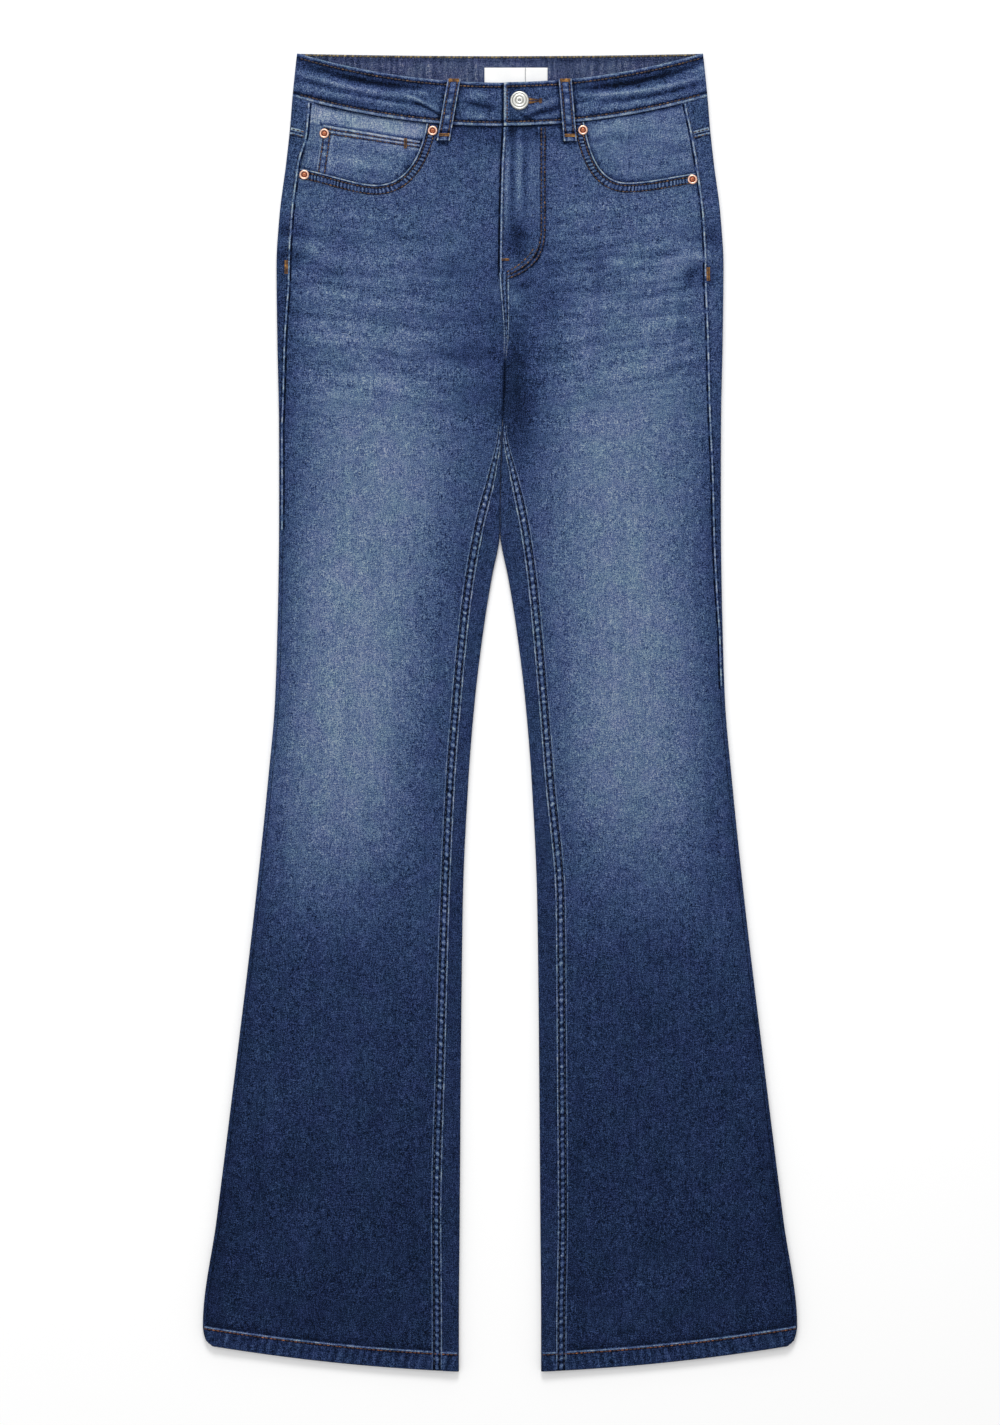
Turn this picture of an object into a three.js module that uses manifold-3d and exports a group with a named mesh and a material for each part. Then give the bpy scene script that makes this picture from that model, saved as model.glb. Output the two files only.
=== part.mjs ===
// Flared five-pocket jeans, laid flat with the front up: every layer of cloth is its own closed wall.
//
// Millimetres. +X is towards the wearer's left, +Y towards the waist, +Z up from the surface that the
// jeans lie on. The origin is the middle of the footprint, on that surface. Along the garment, places
// are given as "down": the distance below the highest edge of the waist. Across it, "out" is the
// distance from the middle line towards the side seam, on either half; side is -1 for the wearer's
// right half and 1 for the left.

import * as THREE from "three";
import { mergeVertices } from "three/addons/utils/BufferGeometryUtils.js";
import Module from "manifold-3d";

const wasm = await Module();
wasm.setup();
const { smoothstep, lerp, clamp } = THREE.MathUtils;

// Driving sizes
const LENGTH = 1120; // highest edge of the waist to the lowest point of the hem
const CLOTH = 1.2; // one layer of denim
const BAND = 2; // the waistband, cloth folded double
const GAP = 0.3; // clearance between neighbouring pieces
const BAND_HEIGHT = 37;
const FOLD = 5.6; // outside height of a folded edge
const LEG_TOP = 3.6; // height of the front surface along the middle of a leg
const HEM_TOP = 5; // the same at the stiffer hem
const SWELL = 26; // how far from a folded edge the cloth settles down to LEG_TOP
const UNDER = CLOTH + GAP; // the seat lies on its pockets and belt loops
const HIP_TOP = UNDER + FOLD; // height of the front surface over the hips
const HIP_ENDS = 280; // from here down the seat sinks to the surface
const LEG_STARTS = 420;
const CROTCH = 315.4; // down, where both inseams start
const WAIST_DIP = 25; // how much lower the front edge of the waist hangs at its middle
const BACK_DIP = 2;
const YOKE_SIDE = 66; // down, where the yoke seam meets the side
const YOKE_POINT = 29; // how much lower the yoke seam is at the middle of the seat
const HEM_HEIGHT = 17;
const HEM_RISE = 0.6; // the hem stands out this much from the leg
const HEM_EXTRA = 1; // and is this much thicker than one layer
const HEM_SLOPE = 0.04; // the hem line climbs outwards by this share, and by
const HEM_BEND = 0.0003; // this much per mm more
const FELL_WIDTH = 8.5; // flat-felled inseam
const FELL_RISE = 0.7;
const FLY_LENGTH = 192; // down, where the fly's stitching ends
const FLY_WIDTH = 31;
const FLY_RISE = CLOTH;
const UNDERLAP = 9; // the right front goes on under the fly by this much

// The outline, a row for each section of the flat garment. down: distance below the waist. outer: half
// the garment's width. sideRight, sideLeft: width of the strip of back panel that wraps round to the
// front on each half. middle: where the centre front seam and the fly's edge lie across the garment.
// inner: half the gap between the legs. inseamRight, inseamLeft: inseam to the middle line.
const SECTIONS = table(
  ["down", "outer", "sideRight", "sideLeft", "middle", "inner", "inseamRight", "inseamLeft"],
  [0, 172.6, 15, 20.5, 3.4, 0, 0, 0],
  [37, 176.4, 15, 20, 3.4, 0, 0, 0],
  [63, 178.5, 15, 17, 3.4, 0, 0, 0],
  [94, 181.9, 10.8, 15.3, 1.9, 0, 0, 0],
  [137, 187.4, 11.2, 15.6, 0.8, 0, 0, 0],
  [180, 190, 11.5, 16.2, 0.3, 0, 0, 0],
  [243, 189.3, 7.2, 13.4, 4.6, 0, 0, 0],
  [CROTCH, 187.9, 3.4, 9.9, 2.2, 0, 0, 0],
  [362, 187.8, 0, 7.7, 0.6, 0, 4.6, 8],
  [405, 187.9, 0, 6.8, 0, 0, 14, 17],
  [447, 188.4, 0, 5.5, 0, 7.2, 21.5, 23],
  [481, 189.1, 0, 4, 0, 12.8, 26, 26.5],
  [549, 191.3, 0, 0, 0, 21.3, 32.5, 32.5],
  [617, 197.2, 0, 0, 0, 26.8, 37.7, 38],
  [719, 207.8, 0, 0, 0, 31.5, 42.5, 46.9],
  [855, 224, 0, 0, 0, 33.2, 46.2, 48],
  [991, 241, 0, 0, 0, 34.2, 49.6, 48.9],
  [1081, 252.7, 0, 0, 0, 34.9, 49, 47.5],
  [1091, 250.4, 0, 0, 0, 34.9, 49, 47.5],
  [1098.3, 245, 0, 0, 0, 34.9, 49, 47.5],
  [LENGTH, 245, 0, 0, 0, 34.9, 49, 47.5]
);

// The rows of the panels' grids, as the place where each meets the side edge
const ROWS = [
  37, 51, YOKE_SIDE, 82, 100, 118, 132, 141, 149, 154, 160, 166, 172, 177, 183, 191, 205, 230, 256, 285, CROTCH,
  319, 328, 342, 360, 382, 405, 420, 440, 465, 497, 535, 580, 630, 685, 740, 795, 850, 905, 960, 1010, 1050, 1078,
];

// Puckers in the cloth at the side seams. down: where each lies. half: half its width. dip: how far it
// sinks, or stands out where it is below zero.
const PUCKER_REACH = 15; // how far they run into the front
const PUCKERS = table(
  ["side", "down", "half", "dip"],
  [-1, 118, 5, 0.6],
  [-1, 149, 5.5, 1.3],
  [-1, 160, 4.5, -0.7],
  [-1, 171, 5, 1.3],
  [1, 157, 7, 1.4],
  [1, 172, 5, -0.7],
  [1, 183, 5, 1.1]
);

// The edge of each front pocket, as two Bezier curves from the waist to the side seam: out and down of
// their ends and handles.
const POCKET_CURVES = {
  "-1": [[60.5, 48], [65, 88], [80, 111], [104, 112], [124, 112], [146, 101.5], [176, 97]],
  1: [[69.5, 48], [75, 86], [84, 108.5], [106, 110], [126, 110.5], [146, 104.5], [176, 100.5]],
};
const POCKET_EDGE_WIDTH = 8;
const POCKET_EDGE_RISE = 0.5;
const FACING_BEYOND = 13; // the facing goes on under the front by this much

// Soft ridges that run along the front of the waistband: from and to, each as x and share of the band's
// height, and how far the ridge stands out.
const BAND_FOLDS = table(
  ["fromX", "fromShare", "toX", "toShare", "width", "rise"],
  [-176, 0.45, -62, 0.5, 0.13, 0.9],
  [-170, 0.8, -100, 0.78, 0.1, 0.5],
  [176, 0.5, 78, 0.42, 0.13, 0.9],
  [150, 0.8, 80, 0.72, 0.1, 0.5]
);

// Small pieces: x and down of their middles
const BUTTON = { x: 16.6, down: 40.8, radius: 8, capHeight: 2.3, neckRadius: 1.8 };
const RIVET = { radius: 4.2, height: 1.3, nub: 1.4 };
const RIVETS = table(
  ["name", "x", "down", "on"],
  ["rivet_right_inner", -57.2, 66, "front"],
  ["rivet_right_outer", -166.2, 103.4, "front"],
  ["rivet_coin_pocket", -149.3, 68.1, "coin"],
  ["rivet_left_inner", 70.4, 65.5, "front"],
  ["rivet_left_outer", 163.4, 107.4, "front"]
);
const LOOP_WIDTH = 11;
const LOOP_STAND = 0.9; // how far a loop stands off the band at its middle
const FRONT_LOOPS = table(
  ["name", "topX", "topDown", "endX", "endDown"],
  ["belt_loop_front_right", -38.9, 22, -48.2, 74.5],
  ["belt_loop_front_left", 55.2, 22, 59.7, 75]
);
const BACK_LOOPS = table(
  ["name", "x"],
  ["belt_loop_back_right", -108],
  ["belt_loop_back_middle", 0],
  ["belt_loop_back_left", 108]
);
const BACK_LOOP_ENDS = { top: 2.5, end: 54 };
const COIN_POCKET = { thickness: 1, outTop: 150.5, outEnd: 158.5, topDown: 60.5, slope: 0.17, endDown: 120, inOut: 68 };
const BACK_POCKET = { out: 88, top: 112, width: 128, height: 142, point: 20, taper: 8, turn: 0.05, thickness: CLOTH };
const LABEL = { thickness: 1, top: 12, end: 35 };
const LABELS = table(["name", "fromX", "toX"], ["label_wide", -13.2, 21.55], ["label_narrow", 21.85, 40.4]);
const ZIP = { x: 6, width: 24, top: 66, end: 188, tape: 1, chainWidth: 5, chain: 0.5, sliderLength: 9, slider: 0.9 };

const OVERLAP = { under: 36, rampEnd: 49 }; // x where the lower end of the waistband stops, and where the upper one is down again

const material = (color, roughness, metalness = 0) => new THREE.MeshStandardMaterial({ color, roughness, metalness });
const DENIM_FRONT = material(0x3f5f96, 0.9);
const DENIM_BACK = material(0x2c4478, 0.9);
const DENIM_TRIM = material(0x35528a, 0.9);
const WHITE_TAPE = material(0xf1f1ee, 0.7);
const ZIP_BLUE = material(0x26365c, 0.6);
const SILVER = material(0xc9cac4, 0.35, 0.9);
const COPPER = material(0xc98a66, 0.35, 0.9);

// Tables and curves

function table(columns, ...rows) {
  return rows.map((row) => Object.fromEntries(columns.map((name, i) => [name, row[i]])));
}

// A smooth curve through one column of the outline, which never overshoots between two sections.
function outline(column) {
  const at = SECTIONS.map((row) => row.down);
  const value = SECTIONS.map((row) => row[column]);
  const rise = at.slice(1).map((d, i) => (value[i + 1] - value[i]) / (d - at[i]));
  const slope = at.map((_, i) => {
    const before = rise[Math.max(i - 1, 0)];
    const after = rise[Math.min(i, rise.length - 1)];
    return before * after <= 0 ? 0 : (2 * before * after) / (before + after);
  });
  return (down) => {
    const i = clamp(at.filter((d) => d <= down).length - 1, 0, at.length - 2);
    const width = at[i + 1] - at[i];
    const t = clamp((down - at[i]) / width, 0, 1);
    const s = 1 - t;
    return (
      value[i] * s * s * (1 + 2 * t) +
      value[i + 1] * t * t * (3 - 2 * t) +
      width * (slope[i] * t * s * s - slope[i + 1] * t * t * s)
    );
  };
}

const outer = outline("outer");
const middle = outline("middle");
const inner = outline("inner");
const sideStrip = { "-1": outline("sideRight"), 1: outline("sideLeft") };
const inseamOut = { "-1": outline("inseamRight"), 1: outline("inseamLeft") };

// Where things are on the flat garment

const hemClimb = (out) => HEM_SLOPE * out + HEM_BEND * out * out;
const HEM_AT_SIDE = LENGTH - hemClimb(outer(LENGTH) - inner(LENGTH));
const ALL_ROWS = [...ROWS, HEM_AT_SIDE - HEM_HEIGHT - 1, HEM_AT_SIDE - HEM_HEIGHT + 1, HEM_AT_SIDE - 9, HEM_AT_SIDE - 4, HEM_AT_SIDE];

const hipShare = (down) => 1 - smoothstep(down, HIP_ENDS, LEG_STARTS);
const hemShare = (row) => smoothstep(row, HEM_AT_SIDE - HEM_HEIGHT - 1, HEM_AT_SIDE - HEM_HEIGHT + 1);
const lift = (down) => UNDER * hipShare(down);
const wallAt = (row) => CLOTH + HEM_EXTRA * hemShare(row);
const foldRadius = (row) => (FOLD + HEM_RISE * hemShare(row)) / 2;

// How far down a grid row lies at a place across it. Front rows sag with the waist, back rows with the
// yoke, and both follow the slope of the hem.
function frontDown(row, out) {
  const share = 1 - (clamp(out, 0, outer(row)) / outer(row)) ** 2;
  return row + WAIST_DIP * (1 - smoothstep(row, 37, 210)) * share + hemLag(row, out);
}
function backDown(row, out) {
  const share = 1 - clamp(out, 0, outer(row)) / outer(row);
  const sag = YOKE_POINT * smoothstep(row, BAND_HEIGHT, YOKE_SIDE) * (1 - smoothstep(row, YOKE_SIDE, 300));
  return row + sag * share + hemLag(row, out);
}
function hemLag(row, out) {
  const tilt = smoothstep(row, 860, HEM_AT_SIDE);
  const start = inner(LENGTH);
  return tilt * (hemClimb(outer(row) - start) - hemClimb(Math.max(out - start, 0)));
}

const sideSeam = (side, row) => outer(row) - Math.max(sideStrip[side](row), foldRadius(row) + 0.6);
const innerRow = (row) => frontDown(row, 0);
const innerEdge = (side, row) => side * middle(innerRow(row)) + Math.max(inner(innerRow(row)), GAP / 2);
const inseam = (side, row) => side * middle(innerRow(row)) + inseamOut[side](innerRow(row));
const belowCrotch = (row) => row > CROTCH;

// Height of the front surface, without what is raised on it.
function topHeight(side, out, row) {
  const hip = hipShare(row);
  const toSide = outer(row) - foldRadius(row) - out;
  const toInside = out - innerEdge(side, row) - foldRadius(row);
  const swell = (distance) => Math.exp(-((Math.max(distance, 0) / SWELL) ** 2));
  const inside = belowCrotch(row) ? swell(toInside) * smoothstep(row, CROTCH, CROTCH + 30) : 0;
  const leg = lerp(LEG_TOP, HEM_TOP, smoothstep(row, 960, HEM_AT_SIDE - HEM_HEIGHT - 1));
  const high = Math.max(swell(toSide), inside);
  return lerp(lerp(leg, FOLD, high), HIP_TOP, hip) + HEM_RISE * hemShare(row) - puckerDip(side, out, row);
}

function puckerDip(side, out, row) {
  const reach = Math.exp(-((Math.max(sideSeam(side, row) - out, 0) / PUCKER_REACH) ** 2));
  const here = PUCKERS.filter((pucker) => pucker.side === side);
  return here.reduce((sum, { down, half, dip }) => sum + dip * reach * Math.exp(-(((row - down) / half) ** 2)), 0);
}

// Closed walls

const place = (x, down, z) => new THREE.Vector3(x, LENGTH / 2 - down, z);

// The closed wall between two grids of points, an outer and an inner one, with as many rows and columns.
function wallBetween(outside, inside) {
  const rows = outside.length;
  const columns = outside[0].length;
  const points = [...outside.flat(), ...inside.flat()];
  const index = (r, c, layer) => layer * rows * columns + r * columns + c;
  const faces = [];
  const quad = (a, b, c, d) => faces.push(a, b, c, a, c, d);
  for (let r = 0; r < rows - 1; r++)
    for (let c = 0; c < columns - 1; c++) {
      quad(index(r, c, 0), index(r + 1, c, 0), index(r + 1, c + 1, 0), index(r, c + 1, 0));
      quad(index(r, c, 1), index(r, c + 1, 1), index(r + 1, c + 1, 1), index(r + 1, c, 1));
    }
  const last = { row: rows - 1, column: columns - 1 };
  for (let r = 0; r < last.row; r++) {
    quad(index(r, 0, 0), index(r, 0, 1), index(r + 1, 0, 1), index(r + 1, 0, 0));
    quad(index(r, last.column, 0), index(r + 1, last.column, 0), index(r + 1, last.column, 1), index(r, last.column, 1));
  }
  for (let c = 0; c < last.column; c++) {
    quad(index(0, c, 0), index(0, c + 1, 0), index(0, c + 1, 1), index(0, c, 1));
    quad(index(last.row, c, 0), index(last.row, c, 1), index(last.row, c + 1, 1), index(last.row, c + 1, 0));
  }
  return facingOut(points, faces);
}

// A closed geometry whose faces point out, whichever way its grid ran.
function facingOut(points, faces) {
  let volume = 0;
  for (let i = 0; i < faces.length; i += 3) {
    const [a, b, c] = [points[faces[i]], points[faces[i + 1]], points[faces[i + 2]]];
    volume += a.dot(b.clone().cross(c));
  }
  const geometry = new THREE.BufferGeometry().setFromPoints(points);
  geometry.setIndex(volume > 0 ? faces : faces.toReversed());
  return geometry;
}

// A flat-lying wall: top surface from a grid of places, thickness straight down.
const slab = (tops, thickness) =>
  wallBetween(tops, tops.map((row) => row.map((p) => p.clone().setZ(p.z - thickness))));

function manifoldOf(geometry) {
  const bare = geometry.clone();
  bare.deleteAttribute("normal");
  bare.deleteAttribute("uv");
  const merged = mergeVertices(bare, 1e-4);
  return new wasm.Manifold(
    new wasm.Mesh({
      numProp: 3,
      vertProperties: merged.getAttribute("position").array,
      triVerts: new Uint32Array(merged.index.array),
    })
  );
}

function geometryOf(solid) {
  const mesh = solid.getMesh();
  return new THREE.BufferGeometry()
    .setAttribute("position", new THREE.BufferAttribute(mesh.vertProperties, 3))
    .setIndex(new THREE.BufferAttribute(mesh.triVerts, 1));
}

const spread = (from, to, count) => Array.from({ length: count + 1 }, (_, i) => lerp(from, to, i / count));

const jeans = new THREE.Group();
function add(name, geometry, finish) {
  const mesh = new THREE.Mesh(geometry, finish);
  mesh.name = name;
  jeans.add(mesh);
}

// Back panels and yokes: one wall that starts at the side seam on top, folds round the outer edge,
// lies on the surface, and below the crotch folds round the inner edge up to the inseam.

// The section of a back panel at a row: points of its outside with the direction that each faces, and
// how far each has turned under (0 on top, 1 below).
function backSection(side, row) {
  const radius = foldRadius(row);
  const bottom = lift(row);
  const edge = outer(row);
  const points = [];
  const onTop = (out) => points.push({ out, z: topHeight(side, out, row), facing: [0, 1], under: 0 });
  const onBottom = (out) => points.push({ out, z: bottom, facing: [0, -1], under: 1 });
  const onFold = (centre, angle, under) => {
    const facing = [Math.cos(angle), Math.sin(angle)];
    points.push({ out: centre + radius * facing[0], z: bottom + radius * (1 + facing[1]), facing, under });
  };
  spread(sideSeam(side, row) + GAP / 2, edge - radius, 2).forEach(onTop);
  for (let i = 1; i < 4; i++) onFold(edge - radius, Math.PI * (0.5 - i / 4), i / 4);
  const middleSeam = side * middle(row) * smoothstep(row, 250, CROTCH) + GAP / 2;
  const inside = belowCrotch(row) ? innerEdge(side, row) : middleSeam;
  spread(edge - radius, inside + radius, 5).forEach(onBottom);
  if (!belowCrotch(row)) {
    spread(inside + radius, inside, 6).slice(1).forEach(onBottom);
    return { points, limit: inside };
  }
  const limit = Math.max(inseam(side, row) - GAP / 2, inside + 0.05);
  const strip = limit - inside;
  const partial = strip < radius + 0.6;
  const turn = partial ? Math.acos(clamp(1 - strip / radius, 0, 1)) : Math.PI / 2;
  const steps = partial ? 6 : 4;
  for (let i = 1; i <= steps; i++) {
    const turned = (i / steps) * (Math.PI / 2 + turn);
    onFold(inside + radius, -Math.PI / 2 - turned, 1 - i / steps);
  }
  if (!partial) spread(inside + radius, limit, 2).slice(1).forEach(onTop);
  return { points, limit };
}

function backWall(side, rows) {
  const outside = [];
  const inside = [];
  for (const row of rows) {
    const { points, limit } = backSection(side, row);
    const wall = wallAt(row);
    const downAt = (out, under) => lerp(frontDown(row, out), backDown(row, out), under);
    outside.push(points.map((p) => place(side * p.out, downAt(p.out, p.under), p.z)));
    inside.push(
      points.map((p, i) => {
        const turnedIn = i > points.length / 2 && p.facing[1] > 0;
        const out = p.out - wall * p.facing[0];
        const kept = turnedIn ? Math.min(out, limit) : out;
        return place(side * kept, downAt(p.out, p.under), p.z - wall * p.facing[1]);
      })
    );
  }
  return wallBetween(outside, inside);
}

function withEnds(rows, from, to) {
  return [from, ...rows.filter((row) => row > from + 2 && row < to - 2), to];
}

// Front panels: a wall on top between the side seam and the middle, or the inseam below the crotch.

const flyShare = (row) => 1 - smoothstep(row, 205, 230);
const underlapShare = (row) => 1 - smoothstep(row, 187, 205);

function frontPanel(side, rows) {
  const over = side === 1;
  const tops = rows.map((row) => {
    const seam = sideSeam(side, row) - GAP / 2;
    const down = innerRow(row);
    const centre = side * middle(down);
    const below = belowCrotch(row);
    const edge = below ? inseam(side, row) : centre;
    const felled = FELL_RISE * smoothstep(row, CROTCH, CROTCH + 30);
    const lap = !below && !over ? (UNDERLAP + GAP / 2) * underlapShare(row) : 0;
    const inEdge = edge + GAP / 2 - lap;
    const rise = (out) => {
      const fromEdge = out - edge;
      const fell = felled * (1 - smoothstep(fromEdge, FELL_WIDTH, FELL_WIDTH + 1.5));
      const fly = over ? FLY_RISE * flyShare(row) * (1 - smoothstep(fromEdge, FLY_WIDTH, FLY_WIDTH + 4)) : 0;
      const sunk = over ? 0 : GAP * flyShare(row) * (1 - smoothstep(fromEdge, 1, 6));
      return fell + fly - sunk;
    };
    const columns = [
      ...spread(seam, edge + FLY_WIDTH + 4, 7),
      edge + FLY_WIDTH,
      edge + 20,
      edge + FELL_WIDTH + 1.5,
      edge + FELL_WIDTH,
      edge + 1,
      inEdge,
    ];
    return columns.map((out) => place(side * out, frontDown(row, Math.abs(out)), topHeight(side, out, row) + rise(out)));
  });
  const inside = tops.map((row, r) => row.map((p) => p.clone().setZ(undersideOf(side, rows[r], p))));
  const panel = manifoldOf(wallBetween(tops, inside));
  return geometryOf(panel.add(pocketEdge(side)).subtract(pocketOpening(side)));
}

// The underside of a front panel stays flat below the felled seam, and rises with the fly.
function undersideOf(side, row, p) {
  const flat = belowCrotch(row) ? topHeight(side, side * p.x, row) : p.z;
  return Math.min(p.z, flat) - wallAt(row);
}

function pocketCurve(side) {
  const [a, b, c, d, e, f, g] = POCKET_CURVES[side].map(([out, down]) => new THREE.Vector2(out, down));
  return [new THREE.CubicBezierCurve(a, b, c, d), new THREE.CubicBezierCurve(d, e, f, g)];
}

// The hollow of a front pocket, from its curved edge out to the side and up to the waist.
function pocketOpening(side) {
  const shape = new THREE.Shape();
  const corners = [...pocketCurve(side).flatMap((curve) => curve.getPoints(12)), { x: 210, y: 97 }, { x: 210, y: 20 }];
  corners.push({ x: POCKET_CURVES[side][0][0], y: 20 });
  shape.setFromPoints(corners.map((p) => new THREE.Vector2(side * p.x, LENGTH / 2 - p.y)));
  return manifoldOf(new THREE.ExtrudeGeometry(shape, { depth: 20, bevelEnabled: false, steps: 1 }));
}

// The turned and stitched edge of a front pocket: a strip along the curve, standing out of the panel.
function pocketEdge(side) {
  const curves = pocketCurve(side);
  const samples = [...curves[0].getPoints(9), ...curves[1].getPoints(9).slice(1)].filter((p) => p.y > 60 && p.x < 165);
  const tops = samples.map((p, i) => {
    const next = samples[Math.min(i + 1, samples.length - 1)];
    const back = samples[Math.max(i - 1, 0)];
    const along = next.clone().sub(back).normalize();
    return [-1, POCKET_EDGE_WIDTH].map((away) => {
      const out = p.x - along.y * away;
      return place(side * out, p.y + along.x * away, HIP_TOP + POCKET_EDGE_RISE);
    });
  });
  return manifoldOf(slab(tops, POCKET_EDGE_RISE + CLOTH / 2));
}

// Front pocket facings, and the coin pocket that lies on the right one.

const FACING_DROP = { "-1": COIN_POCKET.thickness + GAP + CLOTH + GAP, 1: CLOTH + GAP };

function pocketFacing(side) {
  const inEnd = POCKET_CURVES[side][0][0] - FACING_BEYOND;
  const rows = [37 + GAP / 2, 44, 52, 62, 74, 86, 95, 104, 118];
  const tops = rows.map((row) => {
    const seam = sideSeam(side, row) - GAP / 2;
    const columns = [...spread(inEnd, seam - 14, 6), seam - 8, seam - 2, seam];
    return columns.map((out) => {
      const down = frontDown(row, out);
      const flush = smoothstep(out, seam - 8, seam - 2) * (1 - smoothstep(down, 76, 90));
      return place(side * out, down, HIP_TOP - FACING_DROP[side] * (1 - flush));
    });
  });
  return slab(tops, CLOTH);
}

function coinPocket() {
  const { thickness, outTop, outEnd, topDown, slope, endDown, inOut } = COIN_POCKET;
  const tops = spread(0, 1, 4).map((share) => {
    const outSide = lerp(outTop, outEnd, share);
    return spread(outSide, inOut, 5).map((out) =>
      place(-out, lerp(topDown + slope * (outTop - out), endDown, share), HIP_TOP - CLOTH - GAP)
    );
  });
  return slab(tops, thickness);
}

// Waistband: a double strip all round, whose left end lies over the right one at the front.

function bandRise(x, share) {
  let rise = 0;
  for (const fold of BAND_FOLDS) {
    const t = clamp((x - fold.fromX) / (fold.toX - fold.fromX), 0, 1);
    const off = (share - lerp(fold.fromShare, fold.toShare, t)) / fold.width;
    const ends = Math.sin(Math.PI * clamp((x - fold.fromX) / (fold.toX - fold.fromX), 0, 1)) ** 0.5;
    rise = Math.max(rise, fold.rise * ends * Math.exp(-off * off));
  }
  return rise;
}

function bandPath() {
  const path = [];
  const radius = FOLD / 2;
  const front = (x, raised = 0) => path.push({ x: () => x, z: HIP_TOP + raised, facing: [0, 1], under: 0 });
  const frontToSide = (side, share, raised = 0) =>
    path.push({ x: (edge) => side * lerp(62, edge - radius, share), z: HIP_TOP + raised, facing: [0, 1], under: 0 });
  const back = (share) =>
    path.push({ x: (edge) => share * (edge - radius), z: UNDER, facing: [0, -1], under: 1 });
  const fold = (side, turned) => {
    const angle = Math.PI * (0.5 - turned);
    path.push({
      x: (edge) => side * (edge - radius + radius * Math.cos(angle)),
      z: UNDER + radius * (1 + Math.sin(angle)),
      facing: [side * Math.cos(angle), Math.sin(angle)],
      under: turned,
    });
  };
  [OVERLAP.under, 24, 12, 0, -14, -28, -38, -50].forEach((x) => front(x));
  spread(0, 1, 10).forEach((share) => frontToSide(-1, share));
  [0.25, 0.5, 0.75].forEach((turned) => fold(-1, turned));
  spread(-1, 1, 14).forEach(back);
  [0.75, 0.5, 0.25].forEach((turned) => fold(1, turned));
  spread(1, 0, 10).forEach((share) => frontToSide(1, share));
  front(54);
  front(OVERLAP.rampEnd);
  const raised = BAND + GAP;
  front((OVERLAP.rampEnd + OVERLAP.under) / 2 + 1, raised * 0.55);
  [OVERLAP.under + 1, 28, 20, 11].forEach((x) => front(x, raised));
  front(middle(BAND_HEIGHT), raised);
  return path;
}

function waistband() {
  const path = bandPath();
  const outside = [];
  const inside = [];
  for (const share of spread(0, 1, 7)) {
    const edge = outer(BAND_HEIGHT * share);
    const outRow = [];
    const inRow = [];
    for (const p of path) {
      const x = p.x(edge);
      const t = 1 - Math.min(Math.abs(x) / edge, 1) ** 2;
      const top = lerp(WAIST_DIP, BACK_DIP, p.under) * t;
      const bottom = lerp(WAIST_DIP * t, 0, p.under) + BAND_HEIGHT - GAP / 2;
      const down = lerp(top, bottom, share);
      const rise = bandRise(x, share) * (1 - p.under);
      outRow.push(place(x, down, p.z + rise));
      inRow.push(place(x - BAND * p.facing[0], down, p.z + rise - BAND * p.facing[1]));
    }
    outside.push(outRow);
    inside.push(inRow);
  }
  return geometryOf(manifoldOf(wallBetween(outside, inside)).subtract(buttonhole()));
}

// The buttonhole: a round eye for the button's neck and a slot that runs towards the side.
function buttonhole() {
  const eye = BUTTON.neckRadius + 0.5;
  const slot = 0.7;
  const shape = new THREE.Shape();
  const angle = Math.asin(slot / eye);
  shape.absarc(0, 0, eye, angle, 2 * Math.PI - angle, false);
  shape.lineTo(16.5, -slot);
  shape.lineTo(16.5, slot);
  shape.closePath();
  const cutter = new THREE.ExtrudeGeometry(shape, { depth: 10, bevelEnabled: false, steps: 1, curveSegments: 10 });
  cutter.translate(BUTTON.x, LENGTH / 2 - BUTTON.down, HIP_TOP + GAP / 2);
  return manifoldOf(cutter);
}

// Small pieces

function button() {
  const { radius, capHeight, neckRadius } = BUTTON;
  const foot = HIP_TOP + GAP;
  const rim = HIP_TOP + GAP + BAND + GAP;
  const top = rim + capHeight;
  const profile = [
    [0, foot], [neckRadius, foot], [neckRadius, rim], [radius - 0.8, rim], [radius, rim + 0.7], [radius - 0.2, top - 0.5],
    [radius - 1, top], [radius - 2.2, top - 0.5], [3.4, top - 0.3], [2.6, top], [0, top],
  ].map(([r, z]) => new THREE.Vector2(r, z));
  const geometry = new THREE.LatheGeometry(profile, 20).rotateX(Math.PI / 2);
  return geometry.translate(BUTTON.x, LENGTH / 2 - BUTTON.down, 0);
}

function rivet(x, down, base) {
  const { radius, height, nub } = RIVET;
  const profile = [
    [0, 0], [radius, 0], [radius, 0.4], [radius - 1, height - 0.2], [nub + 0.7, height - 0.2], [nub, 0.55], [nub * 0.7, height * 0.8], [0, height],
  ].map(([r, z]) => new THREE.Vector2(r, base + z));
  const geometry = new THREE.LatheGeometry(profile, 14).rotateX(Math.PI / 2);
  return geometry.translate(x, LENGTH / 2 - down, 0);
}

// A belt loop on the front: a strip from the band's upper edge to below its seam.
function frontLoop({ topX, topDown, endX, endDown }) {
  const bandTop = HIP_TOP + GAP + 0.3;
  const tops = spread(0, 1, 10).map((share) => {
    const x = lerp(topX, endX, share);
    const down = lerp(topDown, endDown, share);
    const stand = LOOP_STAND * Math.sin(Math.PI * clamp((share - 0.06) / 0.82, 0, 1)) ** 0.6;
    const folded = share > 0.88 ? 0.7 : 0;
    return [-1, 0, 1].map((across) => place(x + (across * LOOP_WIDTH) / 2, down, bandTop + CLOTH + stand + folded));
  });
  const inside = tops.map((row, i) => row.map((p) => p.clone().setZ(p.z - CLOTH - (i > 8 ? 0.7 : 0))));
  return wallBetween(tops, inside);
}

function backLoop(x) {
  const tops = spread(BACK_LOOP_ENDS.top, BACK_LOOP_ENDS.end, 4).map((down) =>
    [-1, 1].map((across) => place(x + (across * LOOP_WIDTH) / 2, down, CLOTH))
  );
  return slab(tops, CLOTH);
}

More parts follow.
